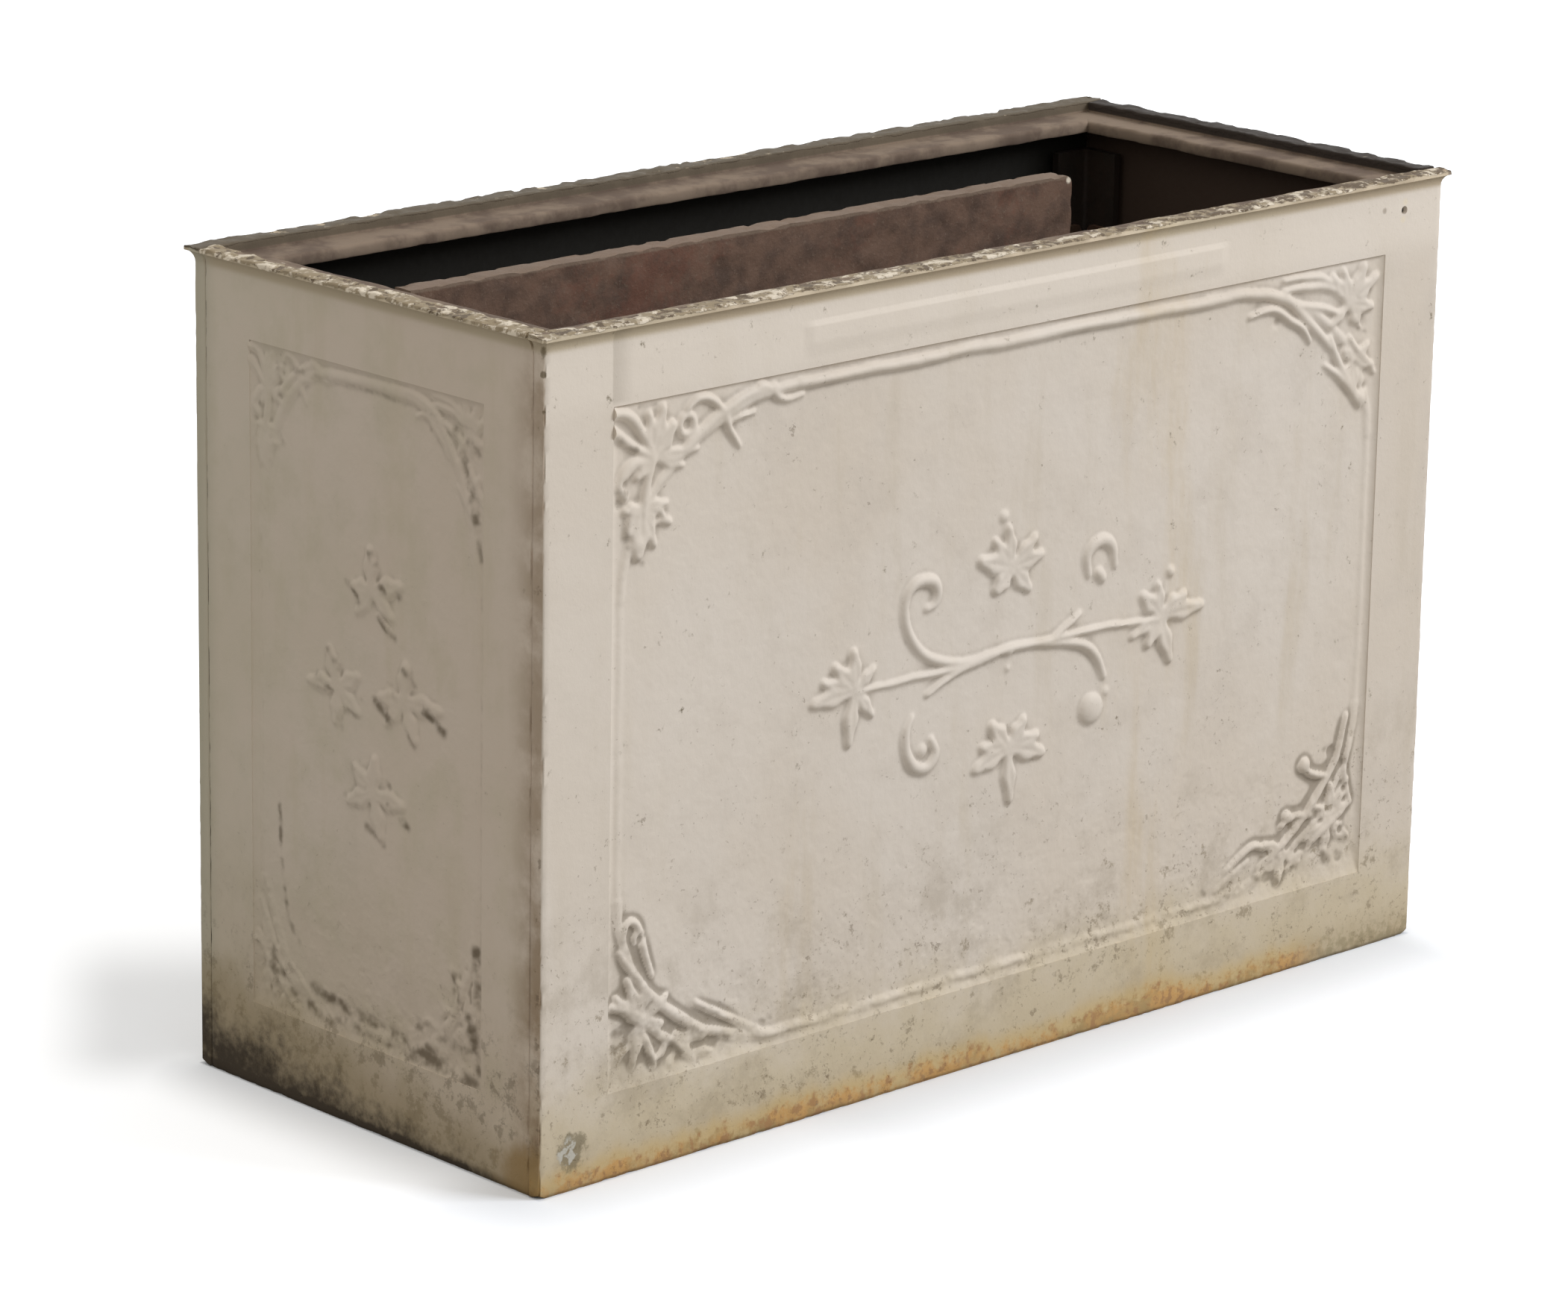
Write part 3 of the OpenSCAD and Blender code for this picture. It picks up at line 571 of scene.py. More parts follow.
def wall_points(wall, u, v, z, seed):
    """Places (u, d, z) of a wall whose stations are u along it, v inwards from its outer face and z up,
    and their marks."""
    across = v / WALL
    outer, inner_side = over(0.01 - across, 0, 0.01), over(across, 0.99, 1)
    at_end = over(np.abs(u), wall["half"] - 0.01, wall["half"])
    u, d = moulded(wall, u, z, across)
    d, z, rough = chipped_rim(u, v, d, z, seed)
    u, d = blunt_corners(u, d, z, at_end * np.maximum(outer, inner_side), outer, inner_side, seed)
    d, z = nibbled_foot(wall, u, v, d, z, outer, seed)
    d = d + outer * (wave(wall, u, z) - FIELD_BACK * sunk_field(wall, u, z))
    crust = over(z, HEIGHT - (2.8 if wall["long"] else 5.0), HEIGHT - 0.5)
    inner = across * (1 - at_end) * (1 - over(z, HEIGHT - 1.6, HEIGHT - 0.6))
    # on the rough top of the rim the cavity mark darkens pits and the gaps under flakes: grime and painted
    # shade
    return u, d, z, marked(len(u), inner, crust, crust * rough * 0.8)


print("deepest chip of the rim, mm:", CHIP_DEEP)

# %% [markdown]
# The front has a blank raised tablet on its frieze and a nail hole high on its right stile. The hole
# needs no Boolean either: the stations nearest to it stand on squares, which are drawn onto circles,
# and those inside are pushed in.

# %% Tablet and nail hole
TABLET_HALF, TABLET_LOW, TABLET_HIGH = 142.0, LIP_Z - 22.5, LIP_Z - 7.5
TABLET_RISE, TABLET_SLOPE = 0.8, 3.0
HOLE_U, HOLE_Z, HOLE_R, HOLE_DEEP, HOLE_ROOM = HALF_L - 28.0, LIP_Z - 9.0, 2.0, 7.0, 5.0


def dress_front(u, d, z, v):
    """The front's tablet with sloping borders, and its hole: within HOLE_ROOM a square of stations is drawn
    towards the circle inside it, by its half side over its distance from the hole."""
    face = v < 0.01
    edge_u = over(TABLET_HALF - np.abs(u), 0, TABLET_SLOPE)
    edge_low, edge_high = over(z - TABLET_LOW, 0, TABLET_SLOPE), over(TABLET_HIGH - z, 0, TABLET_SLOPE)
    d = d + face * TABLET_RISE * np.minimum(edge_u, np.minimum(edge_low, edge_high))
    a, b = u - HOLE_U, z - HOLE_Z
    square, circle = np.maximum(np.abs(a), np.abs(b)), np.hypot(a, b)
    pull = np.where(circle > 0, square / np.maximum(circle, 1e-6), 1) * over(square, HOLE_ROOM, 3.0)
    pull = np.where(square < HOLE_ROOM, pull + over(square, 3.0, HOLE_ROOM), 1)
    u, z = np.where(face, HOLE_U + a * pull, u), np.where(face, HOLE_Z + b * pull, z)
    hole = face * over(square, HOLE_R + 0.15, HOLE_R - 0.25)
    return u, d - HOLE_DEEP * hole, z, hole


print("tablet, mm:", 2 * TABLET_HALF, "x", TABLET_HIGH - TABLET_LOW)

# %% Build a wall
WALL_DEPTHS = np.array([0, 0.8, 2.4, 4, 5.6, 7.2, WALL])
HOLE_RINGS = np.array([-5, -2.15, -1.75, -0.9, 0, 0.9, 1.75, 2.15, 5])


def wall_stations(node):
    """Where the wall's grid must have points: at each place where its section turns."""
    wall = WALLS[node]
    half = wall["half"]
    field = half + (0 if wall["long"] else WALL) - STILE
    us = [half - 12, half - 1, 1 - half, 12 - half, field, -field, field - FIELD_SLOPE, FIELD_SLOPE - field]
    zs = [0.8, 2.6, RAIL, RAIL + FIELD_SLOPE, FIELD_TOP - FIELD_SLOPE, FIELD_TOP, LIP_Z]
    zs += [LIP_Z + LIP_CURVE * share for share in (0.3, 0.55, 0.75, 0.88, 0.96, 1.0)]
    zs += [HEIGHT - TOP_ROUND, HEIGHT - 0.8, HEIGHT - 0.4, HEIGHT - 0.1]
    if node == "front_panel":
        us += [*(HOLE_U + HOLE_RINGS), -TABLET_HALF, TABLET_HALF]
        us += [TABLET_SLOPE - TABLET_HALF, TABLET_HALF - TABLET_SLOPE]
        zs += [*(HOLE_Z + HOLE_RINGS), TABLET_LOW, TABLET_HIGH]
        zs += [TABLET_LOW + TABLET_SLOPE, TABLET_HIGH - TABLET_SLOPE]
    return stations(-half, half, 2.6, *us), stations(0, HEIGHT, 3.2, *zs)


def build_wall(node, material, seed):
    """A wall from a block's stations, moved to the moulding and worn."""
    along, levels = wall_stations(node)
    grid, faces = block_grids(along, WALL_DEPTHS, levels)
    u, v, z = grid.T
    u, d, z, marks = wall_points(WALLS[node], u, v, z, seed)
    if node == "front_panel":
        u, d, z, hole = dress_front(u, d, z, v)
        marks["inner"] = np.maximum(marks["inner"], hole)
    return make_piece(node + "_casting", stand(WALLS[node], u, d, z), [faces], material, marks)


print("wall grid, points along and up:", *map(len, wall_stations("front_panel")))

# %% [markdown]
# ## The relief of the fields
# The patternmaker pressed leaves and strands on to a flat board. They could be sculpted, or be curves
# laid on the wall, but hundreds of crossing bodies are hard to join. A field is drawn as a height map
# instead: each strand, leaf lobe and bud raises the map where it is higher than what is there, and a
# light smoothing stands for the sand and the many coats of paint. Places on a face are given in mm,
# right from its left edge and down from the moulding.

# %% Curves and smoothing


def smooth_path(points):
    """A smooth curve through the given rows, with ten steps to each stretch.
    Between two rows it is the cubic that passes both, with the slope of the line between their outer
    neighbours."""
    p = np.array(points, float)
    p = np.concatenate([2 * p[:1] - p[1:2], p, 2 * p[-1:] - p[-2:-1]])
    t = np.linspace(0, 1, 10, endpoint=False)[None, :, None]
    a, b, c, e = (p[k : len(p) - 3 + k, None] for k in range(4))
    curve = 0.5 * (2 * b + (c - a) * t + (2 * a - 5 * b + 4 * c - e) * t**2 + (3 * b - a - 3 * c + e) * t**3)
    return np.concatenate([curve.reshape(-1, p.shape[1]), p[-2:-1]])


def smoothed(height, reach):
    """The map with each row and column averaged under a bell curve that is reach points wide."""
    taps = np.arange(-int(3 * reach) - 1, int(3 * reach) + 2)
    weights = np.exp(-0.5 * (taps / reach) ** 2)
    weights /= weights.sum()
    for axis in (0, 1):
        margins = [(len(taps) // 2,) * 2 if k == axis else (0, 0) for k in (0, 1)]
        padded = np.pad(height, margins, mode="edge")
        places = np.arange(height.shape[axis])
        height = sum(w * np.take(padded, places + k, axis) for k, w in enumerate(weights))
    return height


def wavered(height, x, v, seed):
    """The map with each point taken from up to a millimetre away, as slow noise says, so that no line in it
    is quite smooth. Between the map's points the value is the mean of the four round it, by nearness."""
    rows, columns = height.shape
    a, b = x + 0.5 * v, v - 0.5 * x
    j = np.arange(rows)[:, None] + (lumps(a, b, 22, seed, 2) - 0.5) * 2.2
    i = np.arange(columns)[None, :] + (lumps(a, b, 22, seed + 5, 2) - 0.5) * 2.2
    j, i = np.clip(j, 0, rows - 1.001), np.clip(i, 0, columns - 1.001)
    j0, i0 = j.astype(int), i.astype(int)
    s, t = j - j0, i - i0
    near = height[j0, i0] * (1 - t) + height[j0, i0 + 1] * t
    far = height[j0 + 1, i0] * (1 - t) + height[j0 + 1, i0 + 1] * t
    return near * (1 - s) + far * s


print("points of a smooth path through 3 rows:", len(smooth_path([(0, 0), (1, 1), (2, 0)])))

# %% The height map
GRID_STEP = 0.8


class Relief:
    """A height map over a stretch of a face, in mm right from its left edge and down from the moulding."""

    def __init__(self, left, right, top, bottom):
        self.x = stations(left, right, GRID_STEP)
        self.v = stations(top, bottom, GRID_STEP)
        self.height = np.zeros((len(self.v), len(self.x)))
        # dark strokes of grime and painted shade, which the paint later reads as hollows
        self.shade_and_grime = np.zeros((len(self.v), len(self.x)))

    def window(self, x, v, reach):
        """The part of the map within reach of a box of points, and the places of its points."""
        i = np.searchsorted(self.x, [np.min(x) - reach, np.max(x) + reach])
        j = np.searchsorted(self.v, [np.min(v) - reach, np.max(v) + reach])
        return (slice(*j), slice(*i)), self.x[None, slice(*i)], self.v[slice(*j), None]

    def from_line(self, start, end, reach):
        """The part of the map near a straight line, each point's share of the way along it, from 0 to 1,
        and its distance from the line."""
        (ax, av), (bx, bv) = start, end
        part, x, v = self.window([ax, bx], [av, bv], reach)
        dx, dv = bx - ax, bv - av
        t = np.clip(((x - ax) * dx + (v - av) * dv) / (dx * dx + dv * dv + 1e-9), 0, 1)
        return part, t, np.hypot(x - ax - t * dx, v - av - t * dv)

    def raise_to(self, part, height):
        self.height[part] = np.maximum(self.height[part], height)

    def strand(self, points, height=2.8):
        """A rounded stem through rows of (right, down, half width): its section is half an ellipse."""
        path = smooth_path(points)
        thick = path[:, 2].max()
        for start, end in zip(path[:-1], path[1:]):
            part, t, away = self.from_line(start[:2], end[:2], thick)
            half = np.maximum(start[2] + (end[2] - start[2]) * t, 0.3)
            section = np.sqrt(np.clip(1 - (away / half) ** 2, 0, 1))
            self.raise_to(part, height * (half / thick) ** 0.6 * section)

    def lobe(self, root, tip, width, height=2.9, vein=0.6):
        """One lobe of a vine leaf from its root to its tip: broadest two thirds out, domed, with a groove for
        the vein. Its half width is width times a power of the sine of the way along it, with two shallow
        notches in each margin, which are a cosine of that way."""
        (rx, rv), (tx, tv) = root, tip
        length = math.hypot(tx - rx, tv - rv)
        part, x, v = self.window([rx, tx], [rv, tv], 1.3 * width + 1)
        along = ((x - rx) * (tx - rx) + (v - rv) * (tv - rv)) / length**2
        across = np.abs((x - rx) * (tv - rv) - (v - rv) * (tx - rx)) / length
        inside = np.clip(along, 0, 1)
        half = 1.05 * width * np.sin(math.pi * (0.13 + 0.87 * inside**1.25)) ** 0.55
        half = half * (1 + 0.17 * np.cos(4 * math.pi * inside)) * ((along > -0.02) & (along < 1))
        margin = np.clip((half - across) / 2.2, 0, 1)
        dome = np.sqrt(1 - (1 - margin) ** 2) * (0.72 + 0.28 * inside)
        groove = vein * np.exp(-((across / 0.9) ** 2)) * over(inside, 1.0, 0.6)
        self.raise_to(part, height * dome - groove * (margin > 0))

    def leaf(self, root, tips, width, height=2.9):
        """A hand of lobes that spread from one root, round a low boss."""
        for tip in tips:
            self.lobe(root, tip[:2], tip[2] if len(tip) > 2 else width, height)
        self.ball(*root, 2.6, height * 0.75)

    def ball(self, x0, v0, radius, height):
        """A bud: half an ellipsoid."""
        part, x, v = self.window([x0], [v0], radius)
        self.raise_to(part, height * np.sqrt(np.clip(1 - ((x - x0) ** 2 + (v - v0) ** 2) / radius**2, 0, 1)))

    def dent(self, x0, v0, radius, depth):
        """A hollow with sloping sides. It never cuts far below the field's floor."""
        part, x, v = self.window([x0], [v0], 1.6 * radius)
        away = np.hypot(x - x0, v - v0) / radius
        self.height[part] = np.maximum(self.height[part] - depth * over(away, 1.5, 0.7), -0.6)

    def draw_shade_and_grime(self, rows):
        """Grime and painted shade in strokes, from rows of (right, down, right, down, half width, strength):
        each fades away from its line as a bell curve does."""
        for ax, av, bx, bv, half, strength in rows:
            part, _, away = self.from_line((ax, av), (bx, bv), 2.4 * half)
            self.shade_and_grime[part] = np.maximum(self.shade_and_grime[part], strength * np.exp(-0.8 * (away / half) ** 2))


print("height map's step, mm:", GRID_STEP)

# %% [markdown]
# ### The rod and the sprays
# The rod frame runs round inside the field and turns each corner in a wide quarter of an ellipse. The
# sprays fill what is left outside the curve: a leaf in each corner, and strands that wind round the
# rod. A spray is written once, as places from its corner, and the end faces take the same four drawn
# in to their narrower field, as a patternmaker would use one set of carved leaves again.

# %% Rod frame and spray
ROD_INSET, ROD_R, ROD_ARC_STEPS = 6.5, 2.9, 12


def rod_frame(relief, left, right, top, bottom, curve_l, curve_h):
    """The rod: four straight stretches, joined by quarters of an ellipse curve_l long and curve_h high. It is
    highest along the top and low down the sides, where the paint has nearly filled it."""
    turn = np.linspace(0, math.pi / 2, ROD_ARC_STEPS + 1)
    tall = np.linspace(1.0, 2.6, ROD_ARC_STEPS + 1)
    for sx, edge_x in ((1, left), (-1, right)):
        for sv, edge_v in ((1, top), (-1, bottom)):
            x = edge_x + sx * (ROD_INSET + curve_l * (1 - np.cos(turn)))
            v = edge_v + sv * (ROD_INSET + curve_h * (1 - np.sin(turn)))
            for k in range(ROD_ARC_STEPS):
                relief.strand([(x[n], v[n], ROD_R - 0.3) for n in (k, k + 1)], tall[k])
    first, last = left + ROD_INSET + curve_l, right - ROD_INSET - curve_l
    relief.strand([(x, top + ROD_INSET, ROD_R) for x in (first, last)], 3.0)
    relief.strand([(x, bottom - ROD_INSET, ROD_R - 0.6) for x in (first, last)], 1.5)
    high, low = top + ROD_INSET + curve_h, bottom - ROD_INSET - curve_h
    for edge in (left + ROD_INSET, right - ROD_INSET):
        relief.strand([(edge, v, ROD_R - 0.9) for v in (high, low)], 0.6)


def placed(rows, corner, scale):
    """Rows of (right, down, ...) from a corner, scaled along and down, their sizes by the mean of both."""
    (x0, v0), (sx, sv) = corner, scale
    size = (abs(sx) + abs(sv)) / 2
    return [(x0 + sx * row[0], v0 + sv * row[1], *(size * k for k in row[2:])) for row in rows]


def spray(relief, corner, scale, strands, leaves, buds, dents):
    """One corner's foliage: strands, leaves as a root and its tips, buds and hollows, from the corner."""
    for rows in strands:
        relief.strand(placed(rows, corner, scale))
    for rows in leaves:
        root, *tips = placed(rows, corner, scale)
        relief.leaf(root[:2], tips, 4.0)
    for row in placed(buds, corner, scale):
        relief.ball(*row)
    for row in placed(dents, corner, scale):
        relief.dent(*row)


print("rod, mm wide:", 2 * ROD_R)

# %% [markdown]
# The upper sprays are seen best in the photograph: on the left a vine leaf with six lobes whose top one
# reaches the corner, a second leaf hanging below it, and strands that cross the rod; on the right a
# broad leaf in the corner with long strands that run along the rod.

# %% Upper sprays
UPPER_LEFT = {
    "strands": [
        [(1, 3, 2.6), (9, 5, 2.7), (14, 9, 2.6), (19, 16, 2.4), (25, 26, 2.2)],
        [(1, 11, 2.6), (9, 17, 2.5), (16, 22, 2.3), (25, 27, 2.2)],
        [(45, 26, 3.2), (53, 20, 3.1), (64, 14, 3.0), (71, 11, 2.9), (84, 7, 2.8), (99, 6, 2.8)],
        [
            (46, 8, 1.6), (52, 4, 2.0), (59, 5, 2.1), (65, 9, 2.1), (69, 14, 2.0), (72, 21, 1.9),
            (79, 30, 1.2),
        ],
        [(86, 8, 1.3), (91, 4, 1.9), (97, 6, 1.9), (102, 11, 1.8), (109, 13, 1.7), (118, 12, 1.2)],
        [(73, 17, 1.2), (80, 16, 1.6), (88, 16, 1.1)],
        [(25, 28, 2.6), (22, 38, 2.4), (20, 46, 2.6), (19, 52, 2.2)],
        [(24, 29, 2.2), (15, 28, 3.2), (8, 32, 3.4), (5, 38, 2.8), (9, 43, 2.2)],
    ],
    "leaves": [
        [
            (25, 27), (22, 5, 3.4), (31, 3, 4.2), (38, 12, 5.0), (54, 27, 3.0), (45, 34, 2.6),
            (14, 36, 3.4),
        ],
        [
            (18, 49), (8, 62, 3.6), (16, 74, 5.4), (27, 70, 3.4), (37, 60, 3.4), (35, 50, 2.8),
            (7, 50, 3.2),
        ],
    ],
    "buds": [(46, 15, 6.5, 2.9), (16, 66, 5.5, 3.2)],
    "dents": [(46, 15, 2.6, 3.2), (8, 37, 1.6, 2.4), (28, 56, 1.8, 2.0), (5, 46, 1.8, 2.4)],
}

UPPER_RIGHT = {
    "strands": [
        [
            (129, 6, 2.9), (99, 7, 3.0), (79, 11, 3.1), (69, 15, 3.0), (59, 23, 2.8), (49, 32, 2.6),
            (38, 42, 2.4),
        ],
        [(74, 9, 1.4), (60, 9, 2.2), (45, 10, 2.4), (37, 13, 2.0), (28, 18, 1.6)],
        [(74, 4, 1.2), (60, 4, 1.8), (48, 5, 2.0), (38, 9, 1.6)],
        [(69, 16, 1.6), (55, 19, 2.0), (43, 22, 2.0), (30, 27, 1.6)],
        [(98, 19, 1.3), (88, 17, 1.9), (79, 18, 2.1), (69, 24, 2.1), (59, 30, 2.0), (53, 38, 1.4)],
        [(38, 38, 2.0), (32, 50, 2.4), (25, 60, 2.6), (18, 68, 2.4), (12, 74, 1.8)],
        [(41, 52, 1.4), (31, 58, 2.2), (22, 66, 2.2), (14, 76, 1.6)],
        [(24, 40, 2.0), (16, 48, 2.2), (9, 54, 2.0), (4, 60, 1.6)],
    ],
    "leaves": [
        [
            (25, 22), (39, 5, 3.6), (30, 3, 3.6), (13, 3, 4.4), (3, 10, 4.0), (5, 26, 3.8), (14, 36, 3.2),
            (39, 33, 3.0),
        ],
        [(20, 52), (30, 44, 2.8), (8, 44, 3.2), (4, 56, 3.0), (18, 68, 3.4), (30, 62, 2.8)],
    ],
    "buds": [(14, 72, 4.4, 3.0), (21, 30, 3.6, 2.8)],
    "dents": [
        (78, 25, 1.6, 1.6), (14, 33, 2.4, 2.6), (9, 18, 1.6, 1.8), (30, 44, 1.6, 2.2), (10, 66, 1.6, 2.2),
    ],
}
print("strands of the upper sprays:", len(UPPER_LEFT["strands"]), len(UPPER_RIGHT["strands"]))

# %% [markdown]
# The lower sprays stand in the damp, and rust and grime have softened them. They are wider than high,
# with their leaves turned down to the corner.

# %% Lower sprays
LOWER_LEFT = {
    "strands": [
        [
            (8, 66, 1.6), (12, 60, 2.0), (19, 52, 2.8), (27, 42, 2.9), (36, 34, 3.0), (48, 26, 3.0),
            (62, 17, 2.8),
        ],
        [(56, 32, 1.4), (66, 26, 2.0), (76, 20, 2.2), (88, 14, 2.0), (98, 9, 1.6)],
        [(28, 52, 1.4), (24, 62, 2.0), (18, 78, 2.2), (12, 80, 1.8), (10, 72, 1.5)],
        [(3, 41, 2.4), (12, 38, 2.6), (22, 32, 2.4), (34, 27, 2.2)],
        [(14, 34, 2.2), (28, 26, 2.6), (38, 18, 2.2), (50, 12, 1.8)],
        [(20, 28, 2.0), (26, 18, 2.6), (30, 8, 2.0)],
        [(34, 22, 2.0), (42, 16, 2.4), (52, 9, 2.0), (66, 6, 1.5)],
    ],
    "leaves": [
        [(21, 31), (4, 46, 3.4), (12, 54, 3.4), (24, 50, 3.4), (38, 40, 3.2), (5, 12, 2.6), (16, 8, 3.2)],
        [(44, 19), (30, 10, 2.8), (40, 4, 2.8), (56, 4, 2.8), (62, 14, 3.0)],
    ],
    "buds": [(19, 72, 4.0, 2.8)],
    "dents": [
        (20, 71, 2.2, 2.6), (9, 24, 5.0, 2.6), (22, 13, 2.2, 2.4), (40, 12, 2.2, 2.4), (67, 9, 2.6, 2.0),
    ],
}

LOWER_RIGHT = {
    "strands": [
        [
            (13, 86, 1.6), (19, 69, 2.4), (24, 61, 2.6), (31, 52, 2.8), (42, 40, 2.8), (56, 29, 2.8),
            (74, 17, 2.6),
        ],
        [(10, 72, 1.4), (14, 60, 2.2), (12, 50, 2.4), (8, 40, 2.2)],
        [(36, 38, 2.4), (50, 40, 2.2), (60, 36, 1.8)],
        [(72, 27, 1.8), (80, 30, 2.2), (90, 26, 2.0), (100, 20, 1.6)],
        [(84, 22, 1.6), (94, 18, 2.0), (108, 11, 1.6)],
        [(14, 36, 2.4), (26, 30, 2.6), (40, 22, 2.4), (54, 13, 1.8)],
        [(47, 66, 1.4), (38, 60, 2.2), (30, 58, 2.0)],
    ],
    "leaves": [
        [
            (24, 34), (8, 40, 3.6), (10, 54, 3.4), (24, 54, 3.2), (40, 44, 3.2), (44, 24, 3.2),
            (26, 14, 3.4), (8, 20, 3.4),
        ],
        [(58, 22), (44, 14, 3.0), (62, 6, 3.2), (78, 12, 3.2), (74, 30, 3.0)],
    ],
    "buds": [(44, 66, 4.2, 2.8), (56, 40, 4.2, 2.8)],
    "dents": [
        (24, 70, 2.0, 2.4), (16, 62, 2.0, 2.4), (13, 48, 2.0, 2.2), (42, 22, 2.6, 2.8), (14, 26, 2.2, 2.8),
        (24, 11, 2.2, 2.6), (14, 11, 2.2, 2.6), (70, 12, 3.0, 2.2), (35, 38, 2.0, 2.0), (56, 35, 2.0, 2.0),
    ],
}


def corner_sprays(relief, left, right, top, bottom, shrink_l, shrink_h):
    """The four sprays, turned to their corners by the signs of their scales."""
    spray(relief, (left, top), (shrink_l, shrink_h), **UPPER_LEFT)
    spray(relief, (right, top), (-shrink_l, shrink_h), **UPPER_RIGHT)
    spray(relief, (left, bottom), (shrink_l, -shrink_h), **LOWER_LEFT)
    spray(relief, (right, bottom), (-shrink_l, -shrink_h), **LOWER_RIGHT)


print("strands of the lower sprays:", len(LOWER_LEFT["strands"]), len(LOWER_RIGHT["strands"]))

# %% [markdown]
# ### The stem in the middle of the front
# A thin stem runs across with a leaf at each end and one above and below. Two tendrils curl away from
# it to the left and two to the right, and small buds mark where they part. Each is a strand through a
# few places, so that a curl is a handful of numbers.

# %% Main stem, tendrils, buds and leaves
STEM_STRANDS = [
    [(196, 191, 1.5), (234, 192, 1.7), (264, 192, 2.0), (286, 189.5, 2.4), (308, 189, 2.4), (328, 190, 2.2)],
    [(314, 189, 1.7), (347, 189.5, 1.8), (374, 190.5, 1.6), (403, 192, 1.5)],
    [
        (286, 190, 2.0), (268, 190, 2.2), (253, 187, 2.4), (241, 181, 2.5), (232.5, 171, 2.5),
        (229, 160, 2.5), (230.5, 150, 2.6), (237, 145, 3.2), (246, 146, 3.4), (250, 152, 2.8),
        (248, 158, 2.2), (243, 160, 1.8),
    ],
    [(290, 190, 2.0), (268, 193, 2.1), (254, 197, 2.0), (244, 202, 1.5)],
    [
        (235, 211, 1.3), (231, 218, 2.2), (231.5, 228, 2.9), (237, 236, 3.2), (245, 238, 3.3),
        (250.5, 232, 3.0), (248, 225, 2.2),
    ],
    [(318, 190, 1.9), (338, 193, 2.3), (352, 197, 2.6), (361, 205, 2.5), (366, 215, 2.0)],
    [(328, 189, 1.2), (340, 184, 1.8), (348, 180, 1.3)],
    [(354, 162, 2.0), (352.5, 153, 2.7), (357, 147, 3.2), (364, 146, 3.2), (370, 151, 2.8), (372, 160, 2.0)],
    [(361, 162, 3.2), (363.5, 165, 3.0)],
]
STEM_BUDS = [
    (242, 229, 3.2, 2.0), (358, 230, 8.0, 4.0), (368, 223, 2.4, 1.6), (299, 190, 2.8, 2.8),
    (299, 199, 1.8, 1.4), (412, 170, 3.0, 2.4), (294, 123, 3.2, 1.8),
]
STEM_LEAVES = [
    [
        (300, 148), (277, 141, 5.0), (287, 132, 3.4), (297, 127, 3.6), (317, 135, 3.6), (322, 145, 4.4),
        (314, 163, 4.4), (288, 160, 5.0),
    ],
    [
        (301, 238), (276, 246, 5.0), (280, 235, 4.0), (287, 224, 4.8), (312, 225, 4.2), (322, 236, 3.8),
        (326, 246, 5.0), (302, 268, 3.8),
    ],
    [
        (196, 190), (167, 193, 4.6), (174, 183, 3.4), (182, 176, 4.2), (195, 170, 3.8), (210, 181, 3.0),
        (209, 206, 3.4), (192, 219, 4.0),
    ],
    [
        (405, 190), (391, 177, 4.4), (403, 173, 3.4), (424, 182, 4.2), (437, 191, 4.6), (396, 206, 4.6),
        (384, 199, 3.2), (414, 217, 4.4),
    ],
]


def middle_stem(relief):
    """The stem with its curled tendrils, then the buds, then the leaves, each a root and its tips."""
    for rows in STEM_STRANDS:
        relief.strand(rows, 3.0)
    for row in STEM_BUDS:
        relief.ball(*row)
    for root, *tips in STEM_LEAVES:
        relief.leaf(root, tips, 4.2, 2.9)


print("leaves on the stem:", len(STEM_LEAVES))
